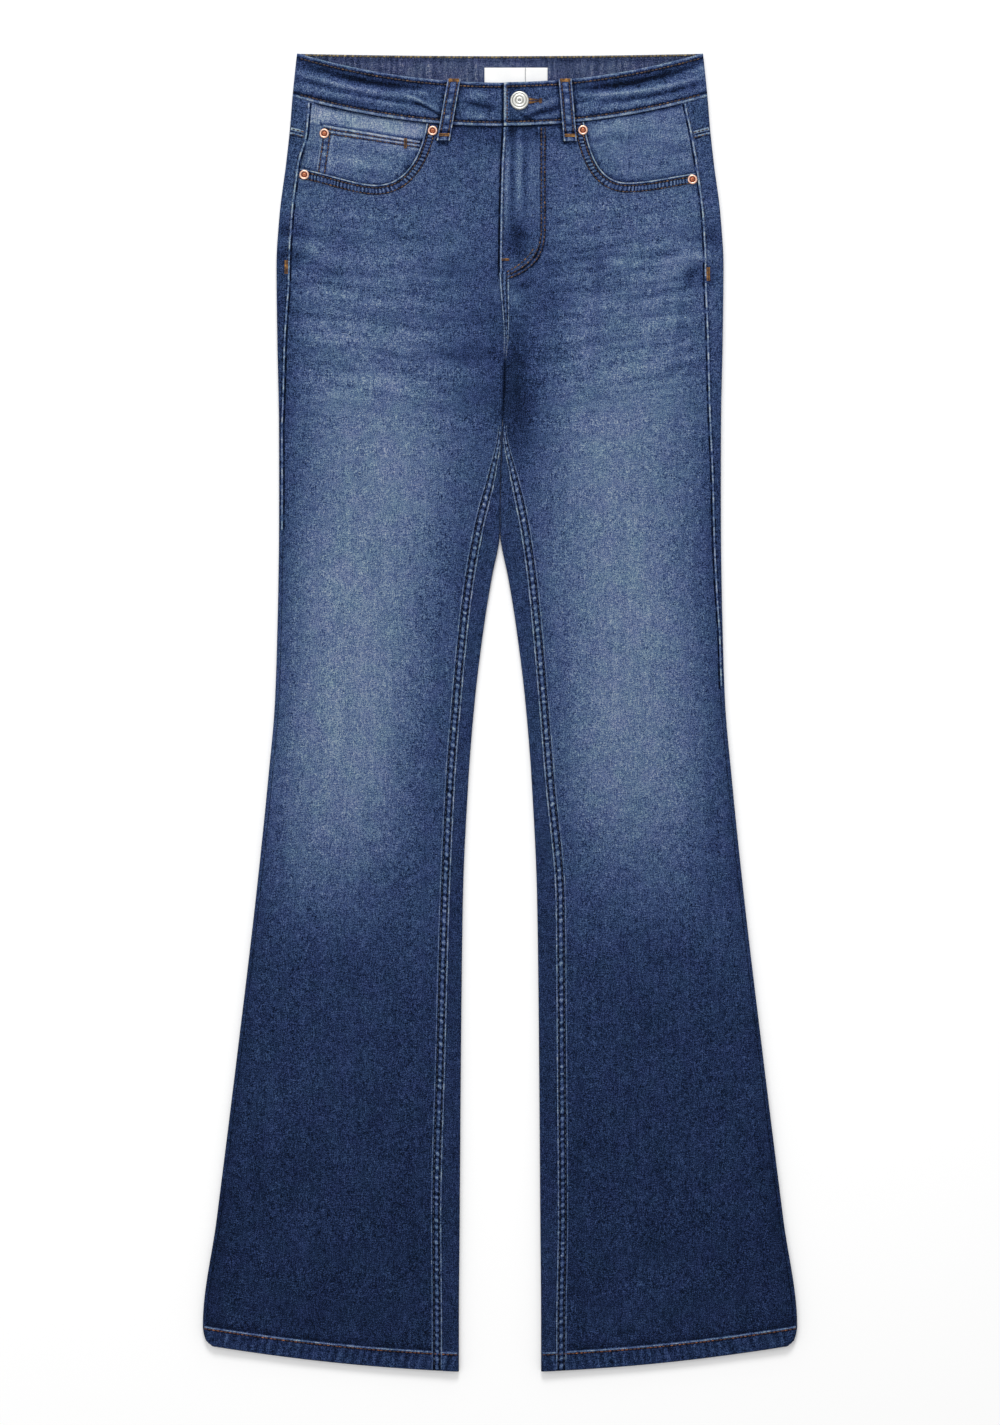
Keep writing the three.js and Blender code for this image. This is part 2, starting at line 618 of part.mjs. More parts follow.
// A back pocket: five-sided, a little narrower below, its point down.
function backPocket(side) {
  const { out, top, width, height, point, taper, turn, thickness } = BACK_POCKET;
  const half = width / 2;
  const corners = [[-half, 0], [half, 0], [half - taper, -(height - point)], [0, -height], [taper - half, -(height - point)]];
  const shape = new THREE.Shape(corners.map(([x, y]) => new THREE.Vector2(x, y)));
  const geometry = new THREE.ExtrudeGeometry(shape, { depth: thickness, bevelEnabled: false, steps: 1 });
  return geometry.rotateZ(side * turn).translate(side * out, LENGTH / 2 - top, 0);
}

function label(fromX, toX) {
  const top = UNDER + BAND + GAP + LABEL.thickness;
  const tops = [LABEL.top, LABEL.end].map((down) => [fromX, toX].map((x) => place(x, down, top)));
  return slab(tops, LABEL.thickness);
}

// The zip under the fly: its tape, the closed chain of teeth and the slider at the top, in one piece.
function zip() {
  const floor = UNDER + CLOTH + GAP + 0.1;
  const bar = (width, top, end, height) =>
    manifoldOf(
      new THREE.BoxGeometry(width, end - top, height).translate(ZIP.x, LENGTH / 2 - (top + end) / 2, floor + height / 2)
    );
  const tape = bar(ZIP.width, ZIP.top, ZIP.end, ZIP.tape);
  const chain = bar(ZIP.chainWidth, ZIP.top + 1, ZIP.end - 4, ZIP.tape + ZIP.chain);
  const slider = bar(ZIP.chainWidth + 3, ZIP.top + 2, ZIP.top + 2 + ZIP.sliderLength, ZIP.tape + ZIP.slider);
  return geometryOf(tape.add(chain).add(slider));
}

// The garment

const sides = [
  { side: -1, name: "right" },
  { side: 1, name: "left" },
];
for (const { side, name } of sides) {
  add(`back_${name}`, backWall(side, withEnds(ALL_ROWS, YOKE_SIDE + GAP / 2, HEM_AT_SIDE)), DENIM_BACK);
  add(`yoke_${name}`, backWall(side, [BAND_HEIGHT + GAP / 2, 51, YOKE_SIDE - GAP / 2]), DENIM_BACK);
  add(`front_${name}`, frontPanel(side, withEnds(ALL_ROWS, BAND_HEIGHT + GAP / 2, HEM_AT_SIDE)), DENIM_FRONT);
  add(`pocket_facing_${name}`, pocketFacing(side), DENIM_TRIM);
  add(`back_pocket_${name}`, backPocket(side), DENIM_TRIM);
}
add("coin_pocket", coinPocket(), DENIM_TRIM);
add("waistband", waistband(), DENIM_TRIM);
for (const loop of FRONT_LOOPS) add(loop.name, frontLoop(loop), DENIM_TRIM);
for (const loop of BACK_LOOPS) add(loop.name, backLoop(loop.x), DENIM_TRIM);
for (const { name, fromX, toX } of LABELS) add(name, label(fromX, toX), WHITE_TAPE);
add("zip", zip(), ZIP_BLUE);
add("button", button(), SILVER);
for (const { name, x, down, on } of RIVETS) {
  const base = on === "coin" ? HIP_TOP - CLOTH - GAP : HIP_TOP + POCKET_EDGE_RISE;
  add(name, rivet(x, down, base + GAP), COPPER);
}

export default jeans;
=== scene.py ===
"""Flared five-pocket jeans, laid flat with the front up and seen from straight above.

The tables and the shape functions work in millimetres, and a mesh gets its metres when it is made.
+X is towards the wearer's left, +Y towards the waist, +Z up from the surface. Along the garment a
place is "down", the distance below the highest edge of the waist. Across it, "out" is the distance
from the middle line towards the side seam, on either half: side is -1 for the wearer's right half
and 1 for the left. A "row" is a line across the cloth, named by where it meets the side edge.
"""

import bpy
import numpy as np
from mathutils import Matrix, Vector


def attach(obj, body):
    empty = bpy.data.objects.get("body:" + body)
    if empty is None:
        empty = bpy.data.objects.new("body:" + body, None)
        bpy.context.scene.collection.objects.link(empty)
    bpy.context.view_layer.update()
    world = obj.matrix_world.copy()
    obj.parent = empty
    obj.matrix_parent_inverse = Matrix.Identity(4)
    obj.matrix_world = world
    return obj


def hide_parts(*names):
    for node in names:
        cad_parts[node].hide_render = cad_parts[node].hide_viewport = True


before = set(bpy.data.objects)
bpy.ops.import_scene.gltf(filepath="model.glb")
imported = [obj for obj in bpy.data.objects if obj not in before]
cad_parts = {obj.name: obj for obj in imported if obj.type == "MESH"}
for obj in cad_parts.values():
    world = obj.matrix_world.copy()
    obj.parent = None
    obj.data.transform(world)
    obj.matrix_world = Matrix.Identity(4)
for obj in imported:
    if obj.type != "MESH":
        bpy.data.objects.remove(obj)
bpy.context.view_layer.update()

MM = 0.001
TURN = 6.28  # radians in a whole turn, near enough for waves

# ---------------------------------------------------------------- sizes of the garment

LENGTH = 1120.0
CLOTH = 1.2
BAND = 2.0
GAP = 0.3
BAND_HEIGHT = 37.0
FOLD = 5.6
LEG_TOP = 3.6
HEM_TOP = 5.0
SWELL = 26.0
UNDER = CLOTH + GAP
HIP_TOP = UNDER + FOLD
HIP_ENDS, LEG_STARTS = 280.0, 420.0
CROTCH = 315.4
WAIST_DIP = 25.0
BACK_DIP = 2.0
YOKE_SIDE = 66.0
YOKE_POINT = 29.0
HEM_HEIGHT = 17.0
HEM_RISE = 0.6
HEM_EXTRA = 1.0
HEM_SLOPE, HEM_BEND = 0.04, 0.0003
FLY_WIDTH = 31.0
FLY_RISE = CLOTH
UNDERLAP = 9.0
FLY_STITCH_OUT, FLY_BEND = 38.0, 150.0
BAND_STRAIGHT = 54.0  # so far from the middle, the waistband starts to widen towards its lower edge
SEAM_UNDER = 0.5  # on the underside, the leg is raised this much and its seams fill the space


def columns(names, *rows):
    """A small table as one array for each named column."""
    return dict(zip(names.split(), np.array(rows, float).T))


SECTIONS = columns(
    "down outer side_right side_left middle inner inseam_right inseam_left",
    (0, 172.6, 15, 20.5, 3.4, 0, 0, 0),
    (37, 176.4, 15, 20, 3.4, 0, 0, 0),
    (63, 178.5, 15, 17, 3.4, 0, 0, 0),
    (94, 181.9, 10.8, 15.3, 1.9, 0, 0, 0),
    (137, 187.4, 11.2, 15.6, 0.8, 0, 0, 0),
    (180, 190, 11.5, 16.2, 0.3, 0, 0, 0),
    (243, 189.3, 7.2, 13.4, 4.6, 0, 0, 0),
    (CROTCH, 187.9, 3.4, 9.9, 2.2, 0, 0, 0),
    (362, 187.8, 0, 7.7, 0.6, 0, 4.6, 8),
    (405, 187.9, 0, 6.8, 0, 0, 14, 17),
    (447, 188.4, 0, 5.5, 0, 7.2, 21.5, 23),
    (481, 189.1, 0, 4, 0, 12.8, 26, 26.5),
    (549, 191.3, 0, 0, 0, 21.3, 32.5, 32.5),
    (617, 197.2, 0, 0, 0, 26.8, 37.7, 38),
    (719, 207.8, 0, 0, 0, 31.5, 42.5, 46.9),
    (855, 224, 0, 0, 0, 33.2, 46.2, 48),
    (991, 241, 0, 0, 0, 34.2, 49.6, 48.9),
    (1081, 252.7, 0, 0, 0, 34.9, 49, 47.5),
    (1091, 251.2, 0, 0, 0, 34.9, 49, 47.5),
    (1095.6, 248.8, 0, 0, 0, 34.9, 49, 47.5),
    (1098.3, 245, 0, 0, 0, 34.9, 49, 47.5),
    (LENGTH, 245, 0, 0, 0, 34.9, 49, 47.5),
)

# The edge of each front pocket: two Bezier curves from the waist to the side seam, as out and down.
POCKET_CURVES = {
    -1: [(60.5, 48), (65, 88), (80, 111), (104, 112), (124, 112), (146, 101.5), (176, 97)],
    1: [(69.5, 48), (75, 86), (84, 108.5), (106, 110), (126, 110.5), (146, 104.5), (176, 100.5)],
}

# Puckers at the side seams: side, down, half the width, and how far each dips (below zero: stands out).
PUCKER_REACH = 15.0
PUCKERS = columns(
    "side down half dip",
    (-1, 118, 5, 0.6),
    (-1, 149, 5.5, 1.3),
    (-1, 160, 4.5, -0.7),
    (-1, 171, 5, 1.3),
    (1, 157, 7, 1.4),
    (1, 172, 5, -0.7),
    (1, 183, 5, 1.1),
)

# Soft creases in the fronts, each a straight ridge (rise above zero) or trough that dies away at both
# ends. shade is how much paler or darker its cloth is painted: painted light on ridges and painted
# shade in troughs, with some wear along them.
CREASES = columns(
    "x0 down0 x1 down1 half rise shade",
    (-174, 150, -150, 154, 4, -0.5, -0.06),
    (-178, 163, -145, 160, 4, 0.4, 0.08),
    (-180, 171, -148, 180, 5, -0.5, -0.06),
    (-182, 186, -150, 203, 6, 0.4, 0.04),
    (170, 184, 146, 193, 4, -0.8, -0.12),
    (172, 176, 128, 178, 6, 0.4, 0.07),
    (150, 192, 108, 214, 6, -0.35, -0.05),
    (168, 176, 153, 208, 4, -0.7, -0.26),
    (153, 204, 153, 246, 3.5, -0.3, -0.14),
    (153, 240, 141, 292, 4, -0.3, -0.12),
    (132, 262, 134, 420, 2.6, 0.2, 0.06),
    (83, 150, 84, 250, 2.5, -0.2, -0.07),
    (60, 150, 60, 240, 3, -0.2, -0.06),
    (13, 226, 12, 334, 13, -0.9, -0.14),
    (25, 232, 28, 312, 7, 0.5, 0.04),
    (4.4, 240, 2.6, 322, 1.3, -0.6, -0.3),
    (-6, 175, -5, 290, 5, -0.4, -0.05),
    (9, 201, 32, 193, 2.2, -0.4, -0.3),
    (8, 207, 26, 222, 3, 0.3, 0.1),
    (-78, 187, -16, 184, 7, -0.3, -0.04),
    (4, 150, 33, 156, 5, -0.6, -0.16),
    (3, 168, 36, 174, 5, -0.6, -0.12),
    (2, 71, 18, 62, 2.5, -0.5, -0.26),
    (22, 62, 40, 72, 3, -0.4, -0.16),
    (5.6, 56, 5, 154, 1.8, 0.3, 0.42),
    (10.6, 58, 10, 154, 1.9, -0.3, -0.24),
    (16.4, 60, 16, 142, 2.2, 0.3, 0.4),
    (21, 60, 20.5, 142, 2.2, -0.3, -0.24),
    (28, 62, 27, 150, 3, 0.2, 0.08),
    (-44, 60, -20, 70, 5, -0.4, -0.06),
)

# Creases of the underside, with the same columns: under the seat, and behind the knees. Their shade
# is painted shade in the creases.
BACK_CREASES = columns(
    "x0 down0 x1 down1 half rise shade",
    (24, 336, 98, 304, 4.5, 0.55, -0.22),
    (58, 352, 152, 316, 6.0, 0.45, -0.16),
    (34, 388, 118, 366, 5.0, 0.40, -0.12),
    (-28, 330, -92, 302, 5.0, 0.55, -0.22),
    (-54, 356, -148, 326, 6.5, 0.45, -0.16),
    (-36, 396, -104, 372, 5.0, 0.35, -0.12),
    (48, 566, 132, 548, 5.5, 0.45, -0.14),
    (66, 592, 148, 606, 7.0, 0.40, -0.12),
    (52, 634, 118, 648, 5.0, 0.30, -0.10),
    (-44, 556, -124, 568, 5.5, 0.45, -0.14),
    (-70, 606, -146, 590, 6.5, 0.40, -0.12),
    (-50, 650, -112, 636, 5.0, 0.30, -0.10),
)

# Whiskers: faint pale and dark lines that fan over the hips, each by its middle, length and slope.
WHISKERS = columns(
    "x down length slope half shade",
    (-122, 137, 100, 0.05, 5, 0.09),
    (-128, 158, 66, 0.04, 5, -0.06),
    (-110, 170, 80, 0.06, 5, 0.08),
    (-130, 189, 40, 0.04, 4, -0.09),
    (-104, 181, 86, 0.10, 4, 0.08),
    (-143, 202, 44, 0.06, 5, 0.09),
    (-100, 213, 92, 0.08, 4.5, 0.12),
    (-74, 224, 130, 0.06, 4, -0.11),
    (-135, 231, 48, 0.06, 5, 0.10),
    (-132, 242, 66, 0.05, 5, 0.11),
    (-40, 239, 66, 0.03, 4, 0.07),
    (-150, 252, 50, 0.0, 5, -0.09),
    (-92, 256, 60, 0.08, 5, -0.07),
    (-32, 257, 60, 0.05, 8, -0.13),
    (-122, 280, 92, 0.18, 5.5, 0.14),
    (-32, 271, 66, 0.05, 4, 0.08),
    (-20, 290, 40, 0.0, 10, -0.09),
    (-128, 266, 70, 0.1, 4, -0.07),
    (80, 131, 60, -0.08, 4, 0.09),
    (126, 142, 40, -0.13, 4, 0.10),
    (145, 150, 48, -0.17, 3.5, -0.10),
    (137, 161, 58, -0.13, 4.5, 0.10),
    (96, 170, 70, -0.1, 5, -0.07),
    (104, 186, 104, -0.07, 4.5, 0.10),
    (124, 204, 66, -0.10, 4, -0.09),
    (131, 212, 54, -0.14, 4, 0.11),
    (131, 220, 56, -0.18, 3.2, -0.12),
    (50, 228, 52, -0.15, 4, 0.08),
    (131, 231, 56, -0.24, 4, 0.12),
    (104, 238, 48, -0.07, 4, -0.09),
    (119, 246, 70, -0.18, 3.6, -0.12),
    (53, 242, 56, -0.10, 4, 0.08),
    (51, 267, 60, -0.10, 4.5, 0.09),
    (122, 262, 60, -0.3, 7, 0.10),
    (118, 286, 70, -0.2, 5, -0.06),
)

# How pale the cloth has worn, down the garment: at the sides, along the middle of each thigh (the
# right and the left half), where that middle lies, how far it reaches, and how much darker the cloth
# is where it rolls over at the side edge, partly painted shade of the turn and partly less faded
# cloth. 0 is the darkest, 1 the palest.
FADE = columns(
    "down sides middle_right middle_left at_right at_left reach edge",
    (0, 0.38, 0.40, 0.40, 110, 110, 70, 0.1),
    (65, 0.40, 0.46, 0.46, 120, 120, 80, 0.1),
    (124, 0.38, 0.44, 0.50, 115, 120, 80, 0.08),
    (192, 0.28, 0.50, 0.58, 112, 122, 72, 0.16),
    (260, 0.27, 0.68, 0.68, 108, 110, 62, 0.16),
    (337, 0.33, 0.80, 0.79, 104, 104, 63, 0.15),
    (430, 0.28, 0.84, 0.81, 118, 102, 63, 0.12),
    (515, 0.28, 0.87, 0.84, 126, 110, 60, 0.1),
    (617, 0.27, 0.83, 0.79, 134, 113, 58, 0.06),
    (668, 0.24, 0.66, 0.57, 138, 116, 57, 0.05),
    (719, 0.23, 0.38, 0.32, 145, 128, 50, 0.06),
    (787, 0.15, 0.13, 0.11, 150, 140, 50, 0.02),
    (855, 0.08, 0.11, 0.08, 150, 140, 60, 0.03),
    (923, 0.05, 0.06, 0.05, 140, 130, 60, 0.03),
    (1000, 0.01, 0.03, 0.04, 138, 130, 60, 0.03),
    (LENGTH, 0.0, 0.0, 0.02, 138, 130, 60, 0.02),
)
# The side edge is darker: painted shade where the cloth rolls away, and less faded cloth.
SIDE_ROLL = 17.0  # how far in from the side edge the cloth is darker

# Soft patches that are darker or paler than the fade gives: most are painted shade in folds, puckers
# and under the waistband and fly, and painted light on ridges; a few are pale worn spots.
PATCHES = columns(
    "x down reach_x reach_down shade",
    (17, 292, 17, 54, -0.2),
    (44, 190, 12, 30, -0.12),
    (175, 193, 9, 8, -0.34),
    (-174, 124, 8, 10, 0.14),
    (14, 158, 9, 15, -0.3),
    (30, 70, 40, 8, -0.2),
    (-25, 74, 40, 12, -0.12),
    (-3.5, 202, 4.5, 7, 0.22),
    (13, 206, 4.5, 7, 0.26),
    (10, 330, 20, 34, -0.08),
    (182, 236, 12, 80, 0.19),
    (-176, 152, 12, 6, -0.2),
    (-178, 172, 12, 7, -0.24),
    (-180, 161, 11, 4, 0.2),
    (176, 156, 11, 8, -0.26),
    (174, 173, 12, 5, 0.22),
    (172, 183, 12, 5, -0.2),
    (-158, 166, 8, 5, 0.18),
    (160, 170, 12, 5, 0.14),
)

# Ridges along the front of the waistband: from and to, as x and share of its height, bend in between.
# Their shade is painted light on the ridges and painted shade in the troughs, with some wear.
BAND_FOLDS = columns(
    "x0 share0 x1 share1 bend half rise shade",
    (-178, 0.40, -74, 0.42, 0.06, 0.055, 0.9, 0.42),
    (-84, 0.40, -50, 0.74, -0.03, 0.045, 0.8, 0.5),
    (-146, 0.65, -60, 0.59, -0.02, 0.045, -0.7, -0.34),
    (-76, 0.54, -48, 0.84, -0.03, 0.045, -0.8, -0.5),
    (-178, 0.76, -58, 0.76, -0.09, 0.06, 0.5, 0.26),
    (-178, 0.57, -120, 0.57, 0.00, 0.05, -0.5, -0.24),
    (-178, 0.90, -96, 0.80, -0.02, 0.05, -0.4, -0.2),
    (-168, 0.21, -54, 0.18, 0.07, 0.07, -0.7, -0.4),
    (-88, 0.34, -54, 0.32, 0.00, 0.05, 0.3, 0.16),
    (62, 0.36, 178, 0.50, 0.08, 0.05, 0.9, 0.46),
    (64, 0.67, 92, 0.44, 0.00, 0.035, 0.5, 0.34),
    (62, 0.58, 86, 0.52, 0.00, 0.035, -0.5, -0.3),
    (82, 0.58, 178, 0.64, 0.06, 0.05, -0.7, -0.38),
    (62, 0.22, 166, 0.22, 0.07, 0.075, -0.7, -0.46),
    (64, 0.72, 160, 0.80, 0.00, 0.07, 0.4, 0.2),
    (154, 0.33, 180, 0.33, 0.00, 0.05, 0.3, 0.24),
    (-34, 0.34, -6, 0.30, 0.00, 0.08, 0.3, 0.24),
    (-34, 0.44, -2, 0.60, 0.00, 0.06, -0.4, -0.36),
    (-36, 0.74, -4, 0.80, 0.00, 0.07, 0.3, 0.3),
    (24, 0.68, 52, 0.40, 0.00, 0.06, 0.4, 0.34),
    (18, 0.84, 52, 0.60, 0.00, 0.055, -0.5, -0.42),
    (14, 0.70, 30, 0.92, 0.00, 0.05, -0.4, -0.3),
    (28, 0.88, 52, 0.78, 0.00, 0.05, 0.3, 0.24),
    (6, 0.24, 30, 0.20, 0.00, 0.08, -0.3, -0.16),
)

BUTTON = dict(x=16.6, down=40.8, radius=8.0, cap=2.3, neck=1.8)
BUTTONHOLE_END = 16.5  # from the button's middle
RIVET_RADIUS, RIVET_HEIGHT = 4.2, 1.3
RIVETS = {
    "rivet_right_inner": (-57.2, 66.0),
    "rivet_right_outer": (-166.2, 103.4),
    "rivet_coin_pocket": (-149.3, 68.1),
    "rivet_left_inner": (70.4, 65.5),
    "rivet_left_outer": (163.4, 107.4),
}
LOOP_WIDTH = 11.0
LOOP_STAND = 0.9
FRONT_LOOPS = {
    "belt_loop_front_right": ((-38.9, 22.0), (-48.2, 74.5)),
    "belt_loop_front_left": ((55.2, 22.0), (59.7, 75.0)),
}
BACK_LOOPS = {"belt_loop_back_right": -108.0, "belt_loop_back_middle": 0.0, "belt_loop_back_left": 108.0}
BACK_LOOP_TOP, BACK_LOOP_END = 2.5, 54.0
FACING_BEYOND = 13.0
FACING_DROP = {-1: 1.0 + GAP + CLOTH + GAP, 1: CLOTH + GAP}
COIN = dict(thick=1.0, out_top=150.5, out_end=158.5, top=60.5, slope=0.17, end=120.0, in_out=68.0)
BACK_POCKET = dict(out=88.0, top=112.0, width=128.0, height=142.0, point=20.0, taper=8.0, turn=0.05)
LABEL_TOP, LABEL_END = 12.0, 35.0
LABELS = {"label_wide": (-13.2, 21.55), "label_narrow": (21.85, 40.4)}
# The waistband's lower end stops at the first x, and its upper end has come down by the second.
OVERLAP_UNDER, OVERLAP_RAMP = 36.0, 49.0
TACK_REACH = 4.2  # half the length of a bar tack across a belt loop
COIN_FACE = HIP_TOP - CLOTH - GAP
POCKET_THREAD = 0.35  # height of the stitches on the back pockets
INSIDE_LEFT = 0.4  # share of the fade that the inside of the cloth keeps
WHISKER_RISE = 1.8  # how far a whisker stands up for its shade
FRAME_HEIGHT = 1.21125  # metres of the surface that the picture shows, from top to bottom
LENS, SENSOR = 100.0, 36.0

# ---------------------------------------------------------------- curves


def smoothstep(x, a, b):
    """From 0 at a to 1 at b, level at both ends."""
    t = np.clip((np.asarray(x, float) - a) / (b - a), 0, 1)
    return t * t * (3 - 2 * t)


def mix(a, b, t):
    """The place a share t of the way from a to b."""
    return a + (b - a) * t


def bell(distance, half):
    """A bell curve: 1 at no distance, and a third of that at half."""
    return np.exp(-((distance / half) ** 2))


def monotone(at, value):
    """A smooth curve through the points, in cubic Hermite pieces. Each slope is the harmonic mean of
    its neighbours' and 0 at a turning point, so that the curve never overshoots."""
    rise = np.diff(value) / np.diff(at)
    before, after = np.r_[rise[0], rise], np.r_[rise, rise[-1]]
    same = before * after > 0
    slope = np.where(same, 2 * before * after / np.where(same, before + after, 1), 0)

    def curve(x):
        i = np.clip(np.searchsorted(at, x, side="right") - 1, 0, len(at) - 2)
        width = at[i + 1] - at[i]
        t = np.clip((x - at[i]) / width, 0, 1)
        s = 1 - t
        ends = value[i] * s * s * (1 + 2 * t) + value[i + 1] * t * t * (3 - 2 * t)
        return ends + width * (slope[i] * t * s * s - slope[i + 1] * t * t * s)

    return curve


def outline(name):
    """One column of the sections as a curve of the distance down."""
    return monotone(SECTIONS["down"], SECTIONS[name])


outer, middle, inner = outline("outer"), outline("middle"), outline("inner")
SIDE_STRIP = {-1: outline("side_right"), 1: outline("side_left")}
INSEAM_OUT = {-1: outline("inseam_right"), 1: outline("inseam_left")}
FADE_CURVES = {name: monotone(FADE["down"], FADE[name]) for name in FADE if name != "down"}


def bezier(points, count):
    """Points along a cubic Bezier curve: the Bernstein weights of its four points."""
    t = np.linspace(0, 1, count)[:, None]
    a, b, c, d = (np.array(p, float) for p in points)
    return a * (1 - t) ** 3 + 3 * b * t * (1 - t) ** 2 + 3 * c * t * t * (1 - t) + d * t**3


def evenly(path, step):
    """The same path with its points about one step apart along it."""
    path = np.asarray(path, float)
    along = np.r_[0, np.cumsum(np.linalg.norm(np.diff(path, axis=0), axis=1))]
    at = np.linspace(0, along[-1], max(int(round(along[-1] / step)), 2) + 1)
    return np.stack([np.interp(at, along, path[:, k]) for k in range(path.shape[1])], axis=1)


def sideways(path):
    """Unit vectors that point to the left of each step along a flat path."""
    step = np.gradient(path, axis=0)
    step /= np.linalg.norm(step, axis=1, keepdims=True)
    return np.stack([-step[:, 1], step[:, 0]], axis=1)


def wobble(x, seed, pitch):
    """Gentle unevenness between -1 and 1: the mean of three sine waves of unlike lengths."""
    a, b, c = np.random.default_rng(seed).uniform(0, TURN, 3)
    x = np.asarray(x, float) * TURN / pitch
    return (np.sin(x + a) + np.sin(0.61 * x + b) + np.sin(1.73 * x + c)) / 3


# ---------------------------------------------------------------- where the cloth lies


def hem_climb(out):
    """How far the hem has climbed at a distance from its inner corner."""
    return HEM_SLOPE * out + HEM_BEND * out * out


HEM_AT_SIDE = LENGTH - float(hem_climb(outer(LENGTH) - inner(LENGTH)))
HEM_RIDGE = HEM_AT_SIDE - HEM_HEIGHT


def hip_share(down):
    """1 at the hips, 0 on the legs."""
    return 1 - smoothstep(down, HIP_ENDS, LEG_STARTS)


def hem_share(row):
    """1 on the turned hem, 0 above it."""
    return smoothstep(row, HEM_RIDGE - 1, HEM_RIDGE + 1)


def wall_at(row):
    """Thickness of the cloth, with what is turned up inside the hem."""
    return CLOTH + HEM_EXTRA * hem_share(row)


def fold_radius(row):
    """Radius of the fold at the side and the inside of the leg."""
    return (FOLD + HEM_RISE * hem_share(row)) / 2


def lift_under(row):
    """Height of the underside: over the loops and pockets at the hips, over its seams on the legs."""
    return UNDER * hip_share(row) + SEAM_UNDER * (1 - hip_share(row))


def hem_lag(row, out):
    """How far a row still has to fall to run level with the hem's slope."""
    tilt = smoothstep(row, 860, HEM_AT_SIDE)
    start = inner(LENGTH)
    return tilt * (hem_climb(outer(row) - start) - hem_climb(np.maximum(out - start, 0)))


def waist_sag(row, out):
    """How far a row hangs below its ends: an arc that is flat again by the hips."""
    share = 1 - (np.clip(out, 0, outer(row)) / outer(row)) ** 2
    return WAIST_DIP * (1 - smoothstep(row, 37, 210)) * share


def front_down(row, out):
    """Where a row lies at a place across the front: it sags with the waist and follows the hem."""
    return row + waist_sag(row, out) + hem_lag(row, out)


def back_down(row, out):
    """The same on the back, which sags with the yoke instead."""
    share = 1 - np.clip(out, 0, outer(row)) / outer(row)
    sag = YOKE_POINT * smoothstep(row, BAND_HEIGHT, YOKE_SIDE) * (1 - smoothstep(row, YOKE_SIDE, 300))
    return row + sag * share + hem_lag(row, out)


def row_of(down, out, rows_down=front_down):
    """The row through a place, found by taking the sag off again a few times."""
    row = np.array(down, float)
    for _ in range(12):
        row = row - (rows_down(row, out) - down)
    return row


def side_seam(side, row):
    """Out of the seam between front and back, on top."""
    return outer(row) - np.maximum(SIDE_STRIP[side](row), fold_radius(row) + 0.6)


def middle_down(row):
    """How far down a row crosses the middle."""
    return front_down(row, 0.0)


def inner_edge(side, row):
    """Out of the leg's folded inside edge."""
    down = middle_down(row)
    return side * middle(down) + np.maximum(inner(down), 0.05)


def inseam(side, row):
    """Out of the seam inside the leg, on top."""
    down = middle_down(row)
    return side * middle(down) + INSEAM_OUT[side](down)


def below_crotch(row):
    """Where the legs are apart."""
    return np.asarray(row) > CROTCH


def along_segment(x, down, crease):
    """Share of the way along each crease, and the distance from its line, for every place."""
    dx, dy = crease["x1"] - crease["x0"], crease["down1"] - crease["down0"]
    length = np.hypot(dx, dy)
    px, py = x[..., None] - crease["x0"], down[..., None] - crease["down0"]
    return (px * dx + py * dy) / length**2, (px * dy - py * dx) / length


def crease_sum(x, down, column, creases=CREASES):
    """Sum over the creases of one of their columns times a bell curve across and half a sine wave along."""
    t, off = along_segment(x, down, creases)
    ends = np.sin(np.pi * np.clip(t, 0, 1)) ** 0.7
    return (creases[column] * ends * bell(off, creases["half"])).sum(-1)


def whisker_sum(x, down):
    """Sum over the whiskers of their shade times bell curves across and along."""
    dx, dy = x[..., None] - WHISKERS["x"], down[..., None] - WHISKERS["down"]
    off = (dy - WHISKERS["slope"] * dx + 0.0009 * dx * dx) / WHISKERS["half"]
    return (WHISKERS["shade"] * np.exp(-(off**2) - (2 * dx / WHISKERS["length"]) ** 2)).sum(-1)


def pucker_dip(side, out, row):
    """Sum of the puckers at the side seam: bell curves along it, which die away into the front."""
    reach = bell(np.maximum(side_seam(side, row) - out, 0), PUCKER_REACH)
    here = PUCKERS["side"] == side
    bells = bell(row[..., None] - PUCKERS["down"][here], PUCKERS["half"][here])
    return reach * (PUCKERS["dip"][here] * bells).sum(-1)


def top_height(side, out, row):
    """Height of the front surface, without what is sewn on it: level, higher over the hips, and
    swelling to the folded edges by a bell curve, with creases, whiskers and puckers on it."""
    out, row = np.broadcast_arrays(np.asarray(out, float), np.asarray(row, float))
    to_side = outer(row) - fold_radius(row) - out
    to_inside = out - inner_edge(side, row) - fold_radius(row)
    at_side, at_inside = (bell(np.maximum(distance, 0), SWELL) for distance in (to_side, to_inside))
    high = np.maximum(at_side, at_inside * smoothstep(row, CROTCH, CROTCH + 30))
    leg = mix(LEG_TOP, HEM_TOP, smoothstep(row, 960, HEM_RIDGE - 1))
    flat = mix(mix(leg, FOLD, high), HIP_TOP, hip_share(row)) + HEM_RISE * hem_share(row)
    x, down = side * out, front_down(row, out)
    relief = crease_sum(x, down, "rise") + WHISKER_RISE * whisker_sum(x, down)
    return flat + relief - pucker_dip(side, out, row)


def place(x, down, z):
    """Points in the frame, from x, distance below the waist and height."""
    x, down, z = np.broadcast_arrays(x, down, z)
    return np.stack([x, LENGTH / 2 - down, z], axis=-1)


# ---------------------------------------------------------------- how worn the cloth is


